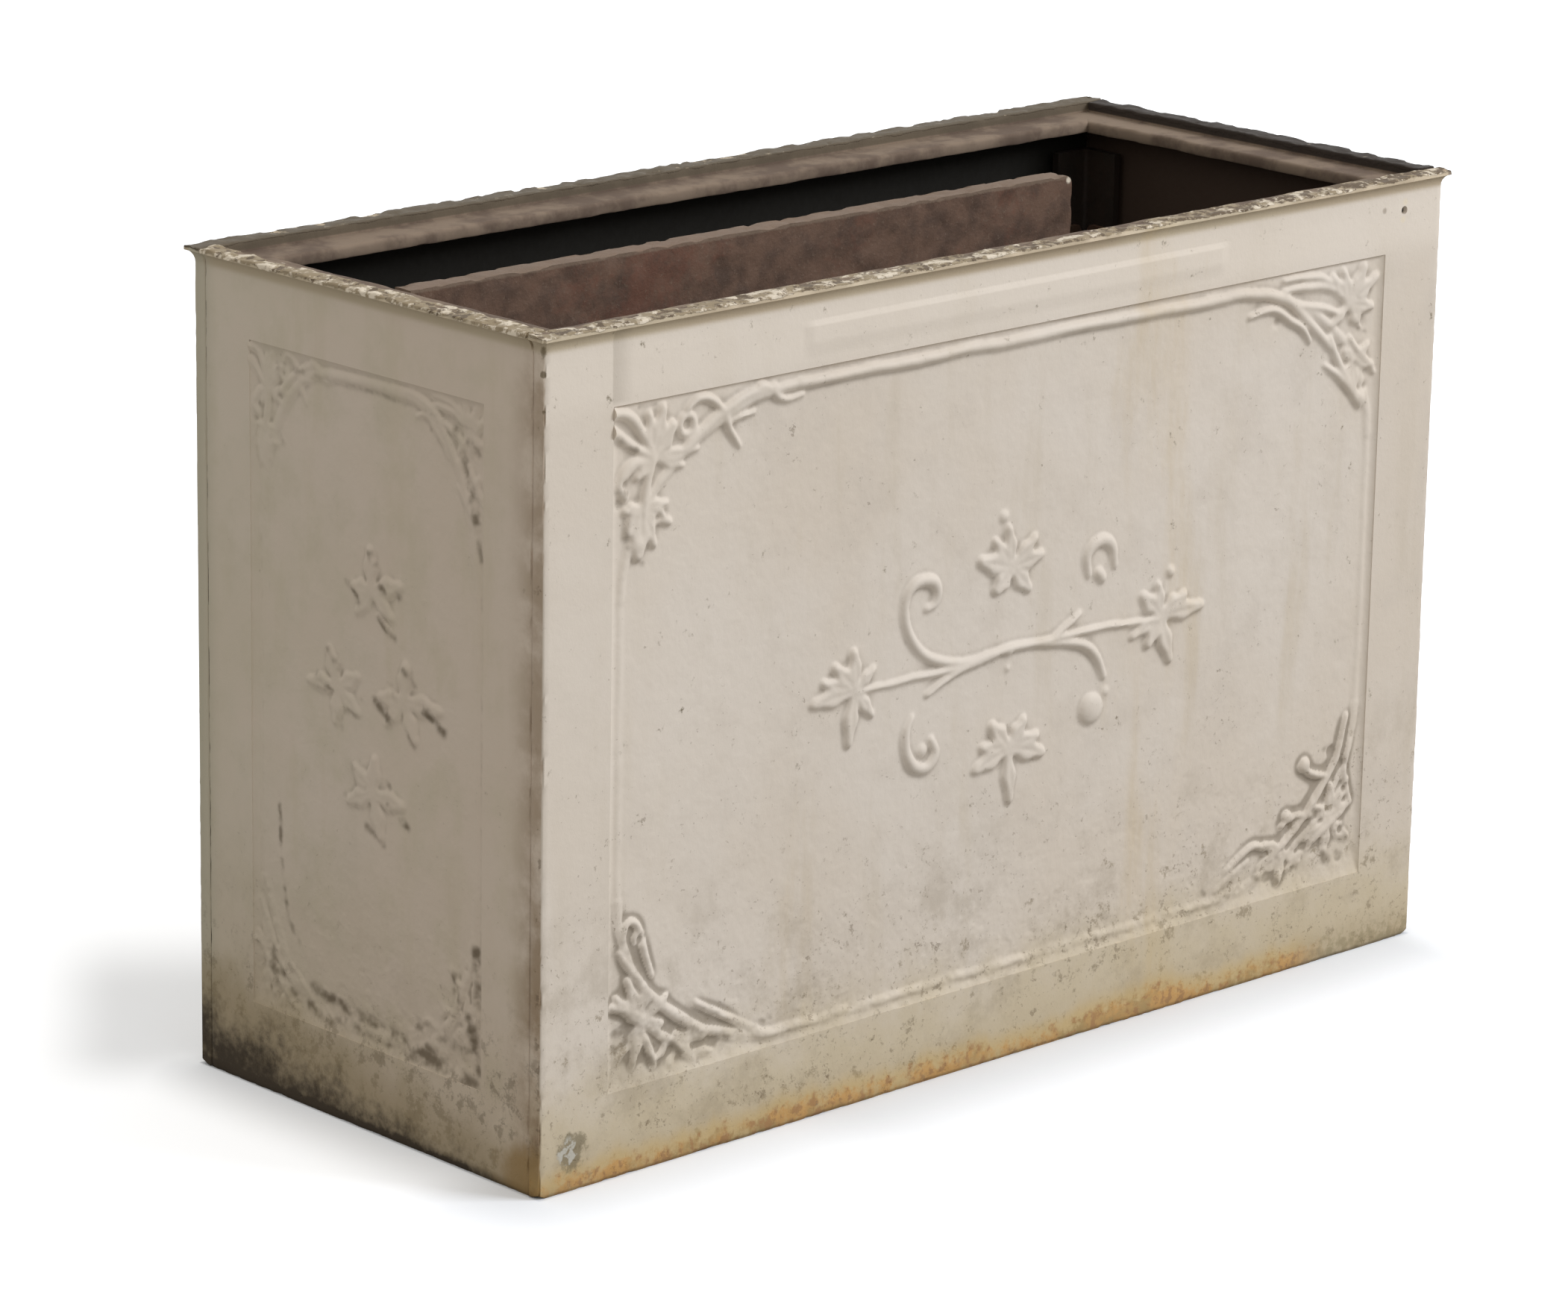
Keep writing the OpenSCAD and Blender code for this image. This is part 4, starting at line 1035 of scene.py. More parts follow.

# %% [markdown]
# ### The leaves of the end face, and its grime and painted shade
# The left end lies in the half shade, where the low relief is hard to see, and what draws it is grime and
# painted shade in its hollows: short dark strokes along one side of a lobe or of the rod. They are given as
# strokes and kept as a mark on the mesh, which the paint reads later.

# %% End leaves, end grime and painted shade
END_LEAVES = [
    [(128, 134), (112, 134, 4.0), (126, 112, 4.4), (150, 127, 4.4), (144, 145, 3.6), (116, 147, 3.6)],
    [(103, 184), (80, 186, 4.0), (96, 166, 4.4), (119, 176, 4.0), (119, 196, 3.8), (101, 204, 3.8)],
    [(151, 182), (131, 183, 4.0), (152, 163, 4.4), (178, 181, 4.6), (160, 201, 4.0), (137, 197, 3.4)],
    [(129, 231), (113, 220, 4.2), (130, 212, 4.0), (152, 233, 4.6), (135, 253, 4.2), (109, 239, 4.2)],
]
# dark strokes along the shaded sides of lobes and rod: grime and painted shade
END_GRIME_AND_SHADE = [
    (127, 115, 134, 124, 2.6, 0.9), (109, 132, 118, 140, 2.4, 0.7), (134, 130, 148, 134, 2.6, 0.8),
    (132, 146, 144, 153, 2.2, 0.7), (96, 169, 105, 176, 2.6, 0.7), (88, 182, 99, 187, 2.4, 0.6),
    (110, 194, 117, 197, 2.4, 0.5), (102, 197, 106, 204, 2.2, 0.5), (78, 187, 94, 188, 1.6, 0.4),
    (129, 186, 143, 194, 2.6, 0.8), (151, 167, 159, 173, 2.4, 0.8), (165, 182, 178, 190, 3.0, 0.9),
    (140, 175, 146, 180, 2.4, 0.7), (154, 198, 159, 203, 2.2, 0.5), (114, 221, 124, 228, 2.4, 0.7),
    (133, 221, 141, 225, 2.2, 0.6), (108, 236, 123, 239, 2.0, 0.5), (141, 234, 153, 242, 2.6, 0.8),
    (124, 248, 136, 254, 2.4, 0.6), (120, 188, 132, 190, 1.8, 0.5), (61, 38, 62, 52, 2.4, 0.6),
    (62, 38, 80, 39, 2.0, 0.6), (80, 39, 120, 39, 1.8, 0.3), (120, 39, 160, 41, 1.8, 0.45),
    (160, 41, 204, 44, 1.6, 0.35), (60, 72, 63, 76, 2.4, 0.5), (185, 42, 191, 54, 2.4, 0.5),
    (191, 54, 198, 68, 3.0, 0.7), (198, 68, 203, 90, 3.0, 0.8), (196, 50, 202, 54, 3.0, 0.7),
    (203, 90, 205, 104, 2.4, 0.6), (59, 247, 61, 287, 1.8, 0.7), (61, 287, 66, 308, 2.0, 0.6),
    (66, 308, 73, 317, 2.2, 0.6), (54, 326, 57, 342, 3.2, 0.8), (62, 336, 70, 344, 2.6, 0.7),
    (203, 290, 205, 322, 3.2, 1.0), (188, 306, 190, 318, 3.0, 0.8), (199, 324, 205, 346, 4.0, 0.9),
    (84, 338, 140, 345, 3.4, 0.85), (100, 348, 170, 353, 2.8, 0.7), (140, 345, 204, 355, 3.8, 0.95),
    (82, 347, 98, 350, 3.4, 0.9), (160, 336, 200, 340, 4.0, 0.6), (47, 80, 48, 330, 1.2, 0.2),
    (52, 90, 53, 250, 1.0, 0.18), (205, 104, 206, 290, 1.2, 0.3), (168, 345, 174, 349, 3.0, 0.7),
]


def end_leaves(relief):
    """The four leaves of an end face, set round its middle, with a stub below the top one."""
    for root, *tips in END_LEAVES:
        relief.leaf(root, tips, 4.0, 2.9)
    relief.strand([(132, 145, 1.6), (140, 151, 2.2)], 2.4)


print("strokes of grime on an end:", len(END_GRIME_AND_SHADE))

# %% [markdown]
# The front has fewer strokes: painted shade in specks round the sprays, mostly near its foot.

# %% Front painted shade
FRONT_SHADE_STROKES = [
    (44, 327, 57, 330, 2.8, 1.0), (45, 334, 48, 336, 2.0, 0.8), (46, 288, 47, 290, 2.2, 0.8),
    (54, 288, 63, 306, 1.8, 0.6), (62, 304, 66, 309, 2.2, 0.7), (63, 340, 69, 346, 2.4, 0.9),
    (81, 340, 87, 346, 2.4, 0.9), (90, 333, 100, 339, 1.6, 0.6), (102, 343, 118, 345, 1.4, 0.6),
    (139, 342, 142, 343, 1.8, 0.7), (144, 341, 146, 342, 1.6, 0.6), (98, 325, 112, 332, 1.4, 0.5),
    (142, 356, 145, 356, 1.8, 0.6), (61, 283, 67, 288, 1.6, 0.6), (533, 284, 538, 283, 2.0, 0.7),
    (528, 290, 531, 296, 2.2, 0.6), (543, 290, 543, 296, 1.8, 0.6), (546, 307, 547, 309, 2.2, 0.8),
    (524, 315, 525, 319, 2.0, 0.7), (506, 318, 507, 319, 1.6, 0.5), (517, 321, 523, 322, 1.6, 0.5),
    (510, 330, 521, 334, 2.2, 0.9), (499, 336, 500, 337, 1.8, 0.7), (465, 338, 479, 336, 1.6, 0.5),
    (482, 342, 497, 347, 2.4, 0.9), (534, 341, 539, 347, 2.8, 1.0), (546, 342, 547, 344, 2.4, 0.9),
    (546, 328, 552, 334, 2.0, 0.7), (443, 341, 446, 344, 2.0, 0.7), (460, 348, 464, 349, 1.6, 0.5),
    (506, 352, 508, 353, 1.6, 0.5), (58, 33, 68, 33, 1.4, 0.7), (44, 45, 55, 52, 1.8, 0.8),
    (45, 70, 50, 71, 2.0, 0.9), (88, 44, 89, 46, 1.8, 0.8), (49, 88, 51, 97, 1.6, 0.6),
    (56, 103, 61, 106, 1.8, 0.8), (72, 82, 75, 85, 1.6, 0.7), (493, 42, 510, 45, 1.2, 0.5),
    (534, 62, 551, 68, 1.8, 0.6), (542, 83, 545, 85, 2.0, 0.6), (542, 50, 545, 51, 1.8, 0.5),
]
print("strokes of grime on the front:", len(FRONT_SHADE_STROKES))

# %% [markdown]
# Now the two maps are drawn. Both have the same rod and sprays. The end faces get a narrower turn of
# the rod, and less than half the height, as many more coats of paint seem to lie on them.

# %% Draw the two maps
BORDER_TOP = 30.0


def front_map(slack=0.1):
    """An empty map of a long wall's field, less a slack all round."""
    return Relief(STILE + slack, 2 * HALF_L - STILE - slack, BORDER_TOP + slack, LIP_Z - RAIL - slack)


def front_relief():
    """The front's field with the stem in its middle."""
    relief = front_map()
    edges = (STILE, 2 * HALF_L - STILE, BORDER_TOP, LIP_Z - RAIL)
    rod_frame(relief, *edges, 109, 85)
    corner_sprays(relief, *edges, 1.0, 1.0)
    middle_stem(relief)
    # painted shade in strokes beside the relief
    relief.draw_shade_and_grime(FRONT_SHADE_STROKES)
    relief.height *= 0.97
    return relief


def end_relief(slack=0.3):
    """An end's field; its map laps the wall by a slack, so that no gap shows."""
    edges = (STILE, 2 * HALF_W - STILE, BORDER_TOP, LIP_Z - RAIL)
    left, right, top, bottom = edges
    relief = Relief(left - slack, right + slack, top - slack, bottom + slack)
    rod_frame(relief, *edges, 50, 85)
    corner_sprays(relief, *edges, 0.5, 0.8)
    end_leaves(relief)
    # grime and painted shade in strokes along the low relief
    relief.draw_shade_and_grime(END_GRIME_AND_SHADE)
    relief.height *= 0.45
    return relief


front_drawn, end_drawn = front_relief(), end_relief()
print("highest relief, mm:", round(front_drawn.height.max(), 2), round(end_drawn.height.max(), 2))

# %% [markdown]
# ## The slabs of the fields
# A field's slab is the height map stood up on its wall, closed behind, and the front's is cut in three to
# keep each piece small. The wall's own waves and the sand's grain are added, the paint fills the corner along
# the borders, and deep narrow places are marked for grime and painted shade.

# %% Wear of a field
BORDER_FILLED, END_BORDER_FILLED = 0.35, 0.08


def worn_height(relief, x, v, u, z, seed):
    """The map, wavered, worn lower in patches and nearly gone in some near the foot, and smoothed."""
    worn = 0.72 + 0.55 * lumps(u + 0.5 * z, z - 0.5 * u, 28, seed + 8, 3)
    faded = over(lumps(u + 0.6 * z, z - 0.6 * u, 20, seed + 21, 3), 0.4, 0.62) * over(z, 72, 62)
    return smoothed(wavered(relief.height * worn * (1 - 0.6 * faded), x, v, seed + 9), 0.95)


def shade_and_grime_in_hollows(relief, wall, height, u, z, seed):
    """How dark the hollows are made with dirt and painted shade, from 0 to 1: the map is lower than its own
    wide average, more so near the front's lower corners, or a stroke of dirt and painted shade was drawn
    there, broken up by noise."""
    dirty = over(z, 165, 125) * over(np.abs(u), 150, 185) if wall["long"] else 0 * z
    # lower than the wide average: darkened as grime and painted shade
    hollow = over((smoothed(height, 3.2) - height) * (1 + dirty), 0.05, 0.8)
    hollow = hollow * over(height, 2.4 + 0.4 * dirty, 0.5)
    patchy = over(lumps(u + 0.7 * z, z - 0.7 * u, 7, seed + 11, 3), 0.3, 0.7)
    strength = 0.7 + 0.35 * dirty if wall["long"] else 1.0
    return np.maximum(hollow * strength, relief.shade_and_grime * (0.25 + 0.9 * patchy))


def border_fill(wall, x, v, u, z, seed):
    """How near a point is to the field's border, from 0 to 1, as far as the paint has filled the corner."""
    side = np.minimum(x - x.min(), x.max() - x)
    ragged = 6 + 9 * lumps(u, z, 14, seed + 15, 3)
    upper = over(v - v.min(), 7, 0) * (0 if wall["long"] else 1)
    return np.maximum(over(side, 4.5, 0), np.maximum(over(v.max() - v, ragged, 0), upper))


def lost_skin(height, u, z, seed):
    """The sand's grain, less pits on the relief and flat places where scale came off, both near the foot."""
    low = over(z, 150, 50)
    fine = (lumps(u, z, 2.2, seed + 3, 2) - 0.5) * (0.1 + 0.2 * low)
    pits = over(lumps(u + 0.8 * z, z - 0.8 * u, 6, seed + 13, 3), 0.55, 0.75) * low
    pits = pits * over(height, 0.1, 0.8) * 0.5
    scale_off = over(lumps(u, z, 9, seed + 6), 0.62, 0.72) * over(z, 130, 50) * 0.35
    return (lumps(u, z, 7, seed, 3) - 0.5) * 0.22 + fine - scale_off - pits


print("paint in the border's corner, mm:", BORDER_FILLED, END_BORDER_FILLED)

# %% Field slabs


def field_slab(name, wall, u, d, z, hollow, material):
    """A slab with the map for its face, upright sides and a flat back."""
    rows, columns = u.shape
    corner = np.arange(rows * columns).reshape(rows, columns)
    loop = np.concatenate([corner[0, :-1], corner[:-1, -1], corner[-1, :0:-1], corner[:0:-1, 0]])
    face = stand(wall, u, d, z).reshape(-1, 3)
    back = stand(wall, u.ravel()[loop], np.full(len(loop), -FIELD_BACK - 0.3), z.ravel()[loop])
    points = np.concatenate([face, back, back.mean(0, keepdims=True)])
    behind = np.arange(len(loop)) + len(face)
    sides = np.stack([loop, behind, np.roll(behind, -1), np.roll(loop, -1)], -1)
    faces = [grid_faces(rows, columns), sides, fan_faces(behind, len(points) - 1)]
    # grime and painted shade in the hollows
    hollow_shade_and_grime = np.concatenate([hollow.ravel(), np.zeros(len(back) + 1)])
    return make_piece(name, points, [f[:, ::-1] for f in faces], material, marked(len(points), cavity=hollow_shade_and_grime))


def build_fields(node, relief, names, material, seed):
    """The slabs of one face, side by side; the map is cut into as many as there are names.
    Along its borders the floor rises as the square of the nearness."""
    wall = WALLS[node]
    x, v = np.meshgrid(relief.x, relief.v)
    u, z = x - (HALF_L if wall["long"] else HALF_W), LIP_Z - v
    height = worn_height(relief, x, v, u, z, seed)
    hollow = shade_and_grime_in_hollows(relief, wall, height, u, z, seed)
    near = border_fill(wall, x, v, u, z, seed)
    rim = BORDER_FILLED - 0.25 * over(v.max() - v, 20, 10) if wall["long"] else END_BORDER_FILLED
    d = (FIELD_SINK - rim) * near**2 - FIELD_SINK + height + lost_skin(height, u, z, seed) + wave(wall, u, z)
    cuts = np.linspace(0, len(relief.x) - 1, len(names) + 1).astype(int)
    parts = [(slice(None), slice(first, last + 1)) for first, last in zip(cuts[:-1], cuts[1:])]
    return [
        field_slab(name, wall, u[part], d[part], z[part], hollow[part], material)
        for name, part in zip(names, parts)
    ]


print("field depth, mm:", FIELD_SINK)

# %% [markdown]
# ## The ledges, the foot flanges and the bosses
# Inside, each wall has a ledge just below the rim and a flange at its foot, mitred where the walls
# meet, and round bosses for the screws of the corner angles. They are part of the casting. A ledge
# could be an extruded curve with a bevel object; as a section carried along the wall it can be mitred
# and nibbled in the same breath.

# %% Ledges and foot flanges


def flange(name, wall, section, nibble, material, seed):
    """A bar along the inside of a wall, its (inwards, up) section carried along it, with its ends mitred:
    the bar is shorter by as much as it stands off the wall. The free edge is nibbled by the noise."""
    inner_half = wall["half"] - (WALL if wall["long"] else 0)
    v, z = np.array(section).T
    along = stations(-1, 1, 3.0 / inner_half)[:, None]
    u = along * (inner_half - v)
    v, z = np.broadcast_to(v, u.shape), np.broadcast_to(z, u.shape)
    free = over(v, v.max() * 0.6, v.max()) * over(1 - np.abs(along), 0, 0.05)
    worn = over(lumps(u, v, 11, seed), 0.4, 0.8) * free * nibble
    dip = (lumps(u, v, 16, seed + 2) - 0.5) * 0.7 * over(v, 1, 4) * (z >= 20)
    points, faces = swept_grids(stand(wall, u, -WALL - v + worn, z + dip))
    return make_piece(name, points, faces, material, marked(len(points), inner=1.0))


def ledge_section():
    """From the wall out along the top, round the upper edge by a quarter circle, and back underneath."""
    turn = np.linspace(0, math.pi / 2, 5)
    edge_v = LEDGE_WIDE - LEDGE_ROUND + LEDGE_ROUND * np.sin(turn)
    edge_z = LEDGE_TOP - LEDGE_ROUND + LEDGE_ROUND * np.cos(turn)
    low = LEDGE_TOP - LEDGE_THICK
    top = [(v, LEDGE_TOP) for v in (-0.4, 3, 7, 11, 15)]
    under = [(v, low) for v in (LEDGE_WIDE - 0.6, 14, 7, -0.4)]
    return [*top, *zip(edge_v, edge_z), (LEDGE_WIDE, low + 0.8), *under]


def foot_section():
    """A plain bar with a slightly blunt lower edge."""
    top = [(v, FOOT_THICK) for v in (-0.4, 10, FOOT_WIDE)]
    return [*top, (FOOT_WIDE, 0.5), *((v, 0.0) for v in (FOOT_WIDE - 0.5, 10, -0.4))]


LEDGE, FOOT = ledge_section(), foot_section()
print("points round a ledge and a foot flange:", len(LEDGE), len(FOOT))

# %% Bosses
ANGLE_LEG, ANGLE_T, BOSS_H, BOSS_R, BOSS_SIDES = 25.0, 4.0, 4.0, 8.0, 28
SCREW_INSET = WALL + BOSS_H + (ANGLE_LEG + ANGLE_T) / 2
SCREW_LEVELS = (60.0, 198.75, 337.5)
END_ANGLE_LEVELS = (60.0, 176.25, 292.5)


def bosses(name, wall, places, material):
    """Short round studs on the inside of a wall: a profile turned about each place (u, z)."""
    turn = np.linspace(0, 2 * math.pi, BOSS_SIDES, endpoint=False)
    radius = np.array([BOSS_R + 0.8, BOSS_R, BOSS_R, BOSS_R - 0.6])[:, None]
    depth = np.array([-0.3, 0.8, BOSS_H - 0.6, BOSS_H])[:, None]
    points, faces, total = [], [], 0
    for u0, z0 in places:
        u, z = u0 - radius * np.cos(turn), z0 + radius * np.sin(turn)
        part, quads = swept_grids(stand(wall, u, -WALL - depth + 0 * u, z))
        points.append(part)
        faces += [q + total for q in quads]
        total += len(part)
    return make_piece(name, np.concatenate(points), faces, material, marked(total, inner=1.0))


def boss_places(node):
    """Where the corner angles' screws meet a wall, and on the left end the partition's too."""
    wall = WALLS[node]
    half = wall["half"] + (0 if wall["long"] else WALL)
    places = [(side * (half - SCREW_INSET), z) for side in (-1, 1) for z in SCREW_LEVELS]
    if node == "left_end_panel":
        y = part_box("partition_end_angle")[0].y / MM + (ANGLE_LEG + ANGLE_T) / 2
        places += [(-y, z) for z in END_ANGLE_LEVELS]
    return places


print("bosses:", sum(len(boss_places(node)) for node in WALLS))

# %% [markdown]
# ## The partition
# A rusty plate stands upright behind the middle, level with the ledge, and is notched where it passes
# under the left end's rim. It was never painted: its surface is scaled, and its edges are eaten. It is
# a block like the walls, with noise that moves its faces in and lowers its edges.

# %% Partition
NOTCH_LOW, FREE_CORNER_R, EDGE_BITTEN = 7.0, 6.0, 0.8


def rounded_corner(u, z, end, top):
    """The free upper corner, drawn from a square onto a circle of radius FREE_CORNER_R: each point keeps
    its direction from the circle's middle, and its larger offset becomes its distance."""
    over_z, over_u = z - (top - FREE_CORNER_R), u - (end - FREE_CORNER_R)
    in_corner = (over_z > 0) & (over_u > 0)
    away = np.hypot(over_z, over_u)
    shrink = np.where(in_corner, np.maximum(over_z, over_u) / np.maximum(away, 1e-6), 1)
    u = np.where(in_corner, end - FREE_CORNER_R + over_u * shrink, u)
    return u, np.where(in_corner, top - FREE_CORNER_R + over_z * shrink, z)


def build_partition(material):
    """The plate's block with its notch, its rounded free corner, scabs on its faces and eaten edges."""
    low, high = (np.array(corner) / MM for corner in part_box("partition_plate"))
    depth, notch_end = high[1] - low[1], -HALF_L + WALL + LEDGE_WIDE + 1
    near_ends = (high[0] - EDGE_BITTEN, low[0] + EDGE_BITTEN)
    us = stations(low[0], high[0], 3.0, notch_end, notch_end + 0.6, *near_ends)
    zs = stations(low[2], high[2], 3.0, high[2] - NOTCH_LOW, high[2] - EDGE_BITTEN, low[2] + EDGE_BITTEN)
    vs = stations(0, depth, 2.4, EDGE_BITTEN, depth - EDGE_BITTEN)
    grid, faces = block_grids(us, vs, zs)
    u, v, z = grid.T
    top = high[2] - NOTCH_LOW * over(u, notch_end + 0.6, notch_end)
    u, z = rounded_corner(u, np.minimum(z, top), high[0], high[2])
    across = v / depth * 2 - 1
    face_v = np.sign(across) * over(np.abs(across), 0.97, 1)
    scab = over(lumps(u, z, 8, 31), 0.45, 0.8) * 0.9 + lumps(u, z, 3, 33, 2) * 0.2
    eaten = over(lumps(u, v * 2, 7, 35), 0.5, 0.85)
    z = z - over(z, high[2] - 2, top) * 1.3 * eaten
    u = u - over(u, high[0] - 1.5, high[0]) * over(lumps(z, v * 2, 9, 37), 0.45, 0.8) * 1.5
    points = np.stack([u, low[1] + v - face_v * scab, z], -1)
    return make_piece("partition_rusty_plate", points, [faces], material)


print("partition's notch, mm:", NOTCH_LOW)

# %% [markdown]
# ## The paint
# The outside has many thin coats of cream paint over cast iron. Paint has broken off along the rim, where it
# is all pale flakes and dark iron; damp has stained the foot ochre and orange on the bright side and left
# black dirt on the shaded end; dirt and painted shade sit in the hollows of the foliage; and small rust spots
# come through. A photograph could be wrapped round the trough, but it would show one light and one distance.
# Here each finish is a tone laid over the last one, by a mask of noises and places.

# %% Tones of the paint and its dirt
PAINT, PAINT_BRIGHT, PAINT_WARM = linear(222, 213, 203), linear(233, 223, 211), linear(217, 206, 193)
PAINT_GREY, PAINT_DULL = linear(208, 198, 187), linear(200, 188, 170)
EARTH, EARTH_GREEN = linear(222, 203, 184), linear(210, 200, 176)
# The moulding's khaki tones are lightened as painted light, against the shade under the lip.
LIP_KHAKI_LIGHTENED, LIP_GREEN_LIGHTENED, FLAKE = linear(193, 177, 153), linear(198, 184, 160), linear(230, 218, 199)
CRUST, CRUST_DARK = linear(156, 140, 114), linear(100, 84, 64)
OCHRE, OCHRE_DEEP, AMBER = linear(202, 187, 156), linear(158, 128, 80), linear(206, 179, 125)
ORANGE, RUST, SPOT = linear(206, 148, 76), linear(152, 92, 50), linear(122, 105, 84)
# The grime tone also paints shade in the hollows of the relief.
BLOTCH, GRIME_AND_SHADE, DIRT = linear(148, 134, 112), linear(104, 90, 70), linear(52, 42, 32)
OLIVE, MOSS, FOOT_BROWN = linear(158, 140, 106), linear(146, 140, 112), linear(190, 172, 144)
EDGE_BROWN, EDGE_GREEN = linear(160, 138, 114), linear(193, 187, 168)
KNOCK_RIM, KNOCK_PALE, KNOCK_BROWN = linear(112, 102, 78), linear(208, 206, 198), linear(108, 94, 66)
print("cream paint, linear:", np.round(PAINT[:3], 3))

# %% A casting's paint, laid on coat by coat


class Paint(Shader):
    """The paint of one casting while it is laid on. Its noises run from broad clouds to fine spots, and
    its places are in metres, as Object coordinates are. Masks that later steps need are kept on it."""

    def __init__(self, name, dirt):
        super().__init__(bpy.data.materials.new(name))
        self.x, self.y, self.z = self.axes()
        self.inner, self.edge, self.cavity = (self.attribute(mark) for mark in ("inner", "edge", "cavity"))
        self.cloud, self.mottle = self.noise(6, 4), self.noise(36, 6, 0.62, shift=3)
        self.streak = self.noise(42, 5, 0.6, stretch=(1, 1, 0.16), shift=11)
        self.chunks, self.blotch = self.noise(75, 5, 0.6, shift=17), self.noise(120, 5, 0.7, shift=23)
        self.broken = self.noise(150, 6, 0.7, shift=15)
        self.grain, self.spots = self.noise(230, 4, 0.6, shift=5), self.noise(420, 4, 0.6, shift=8)
        self.end_face = (self.x * self.x).step(0.0896, 0.09) * (self.y * self.y).step(0.0155, 0.01535)
        self.dirt = dirt + self.end_face * (1 - dirt)
        self.colour = PAINT

    def lay(self, share, tone):
        """Lays a tone over what is there; share is how far it covers, from 0 to 1."""
        self.colour = self.mix(share, self.colour, tone)


print("marks that the paint reads:", ", ".join(marked(1)))

# %% Cream coats


def cream_coats(s):
    """Cream, cloudy and streaked, brighter on the frieze and on the front's left, earthy and greener where it
    is dirty, and a darker khaki on the moulding, though lightened there as painted light against the shade
    under the lip."""
    s.lay(s.cloud.step(0.36, 0.62), PAINT_WARM)
    s.lay(s.mottle.step(0.46, 0.72) * 0.5, PAINT_GREY)
    s.lay(s.streak.step(0.52, 0.72) * 0.3, PAINT_DULL)
    s.lay(s.z.step((FIELD_TOP - 8) * MM, (FIELD_TOP + 10) * MM) * (0.65 - 0.5 * s.dirt), PAINT_BRIGHT)
    greener = (s.cloud * 0.5 + s.y * 1.6 + s.mottle * 0.5).step(0.4, 0.75)
    s.lay(s.dirt * 0.42, s.mix(greener, EARTH, EARTH_GREEN))
    s.lay((s.streak + s.mottle - 0.5).step(0.45, 0.75) * s.dirt * 0.3, EARTH_GREEN)
    s.lay(s.x.step(-0.1, -0.3) * (1 - s.dirt) * 0.45, PAINT_BRIGHT)
    # the moulding's khaki, lightened as painted light where the lip's underside is shaded
    lightened_lip = s.mix((s.cloud + s.dirt * 0.1).step(0.45, 0.62), LIP_KHAKI_LIGHTENED, LIP_GREEN_LIGHTENED)
    s.lay(s.z.step((LIP_Z - 1.5) * MM, (LIP_Z + 2) * MM), lightened_lip)


print("the moulding's tone starts at, mm:", LIP_Z - 1.5)

# %% [markdown]
# Damp rises from the ground, so stains and specks gather low down. Each mask adds a height and a
# noise, and a step sharpens the sum: the stain then has a ragged edge, not a level one.

# %% Stains, specks and grime


def stains_and_specks(s, stain):
    """Ochre damp and blotches low down, as strong as stain says, rust specks, and in the hollows dirt with
    painted shade.
    """
    s.lay((s.z.step(0.16, 0.02) + s.mottle.sway(0.6)).clamp() * (s.dirt * 0.25), FOOT_BROWN)
    s.lay((s.z.step(0.1, 0.0) + s.mottle.sway(0.8)).step(0.15, 0.95) * (0.85 * stain), OCHRE)
    patches = (s.noise(55, 6, 0.75, shift=27) + s.z.step(0.12, 0.02) * 0.06).step(0.62, 0.68)
    s.lay(patches * s.z.step(0.18, 0.07) * s.grain.step(0.4, 0.56) * (0.75 * stain), BLOTCH)
    s.speckle = (s.spots + s.z.step(0.25, 0.0) * 0.08 + s.mottle.sway(0.3)).step(0.69, 0.77)
    s.worn = (s.blotch + s.z.step(0.14, 0.02) * 0.08 + s.mottle.sway(0.35)).step(0.7, 0.76)
    s.lay((s.speckle * 0.35 + s.worn * 0.5).clamp() * (1 - 0.5 * s.dirt), SPOT)
    smeared = (s.noise(30, 6, 0.7, shift=39) + s.x.step(0.1, -0.2) * 0.05).step(0.5, 0.7)
    s.lay(smeared * s.z.step(0.17, 0.07) * (0.36 * stain), BLOTCH)
    # hollows and drawn strokes: grime and painted shade
    s.lay((s.cavity + s.grain.sway(0.35)).step(0.08, 1.05) * (s.dirt * 0.3 + 0.56), GRIME_AND_SHADE)


def end_face_edges(s):
    """On the end faces: a brown worn strip and pits at the near arris, a green strip at the far one, and
    spots low down."""
    near = s.y.step(-0.098, -0.122) * s.end_face
    s.lay(near * (0.68 + s.z.step(0.17, 0.06) * 0.3) * s.mottle.step(0.3, 0.6), EDGE_BROWN)
    s.lay(s.y.step(0.106, 0.1235) * s.end_face * 0.9, EDGE_GREEN)
    spotted = (s.noise(85, 6, 0.75, shift=35) + s.z.step(0.12, 0.01) * 0.07).step(0.57, 0.66)
    s.lay(spotted * s.z.step(0.105, 0.05) * (s.dirt * s.end_face * 0.45), GRIME_AND_SHADE)
    pitted = (s.blotch + s.z.step(0.3, 0.0) * 0.03).step(0.6, 0.65)
    s.lay(pitted * s.y.step(-0.1195, -0.1225) * s.end_face * 0.5, CRUST_DARK)


print("stain functions ready")

# %% [markdown]
# The foot has its own story. On the front it is amber and orange where water stood, and only mossy
# near the right end. On the shaded end a black band rises towards the back, so its mask reads a height
# that is tilted with y.

# %% The wet foot
BAND_TILT = 0.17


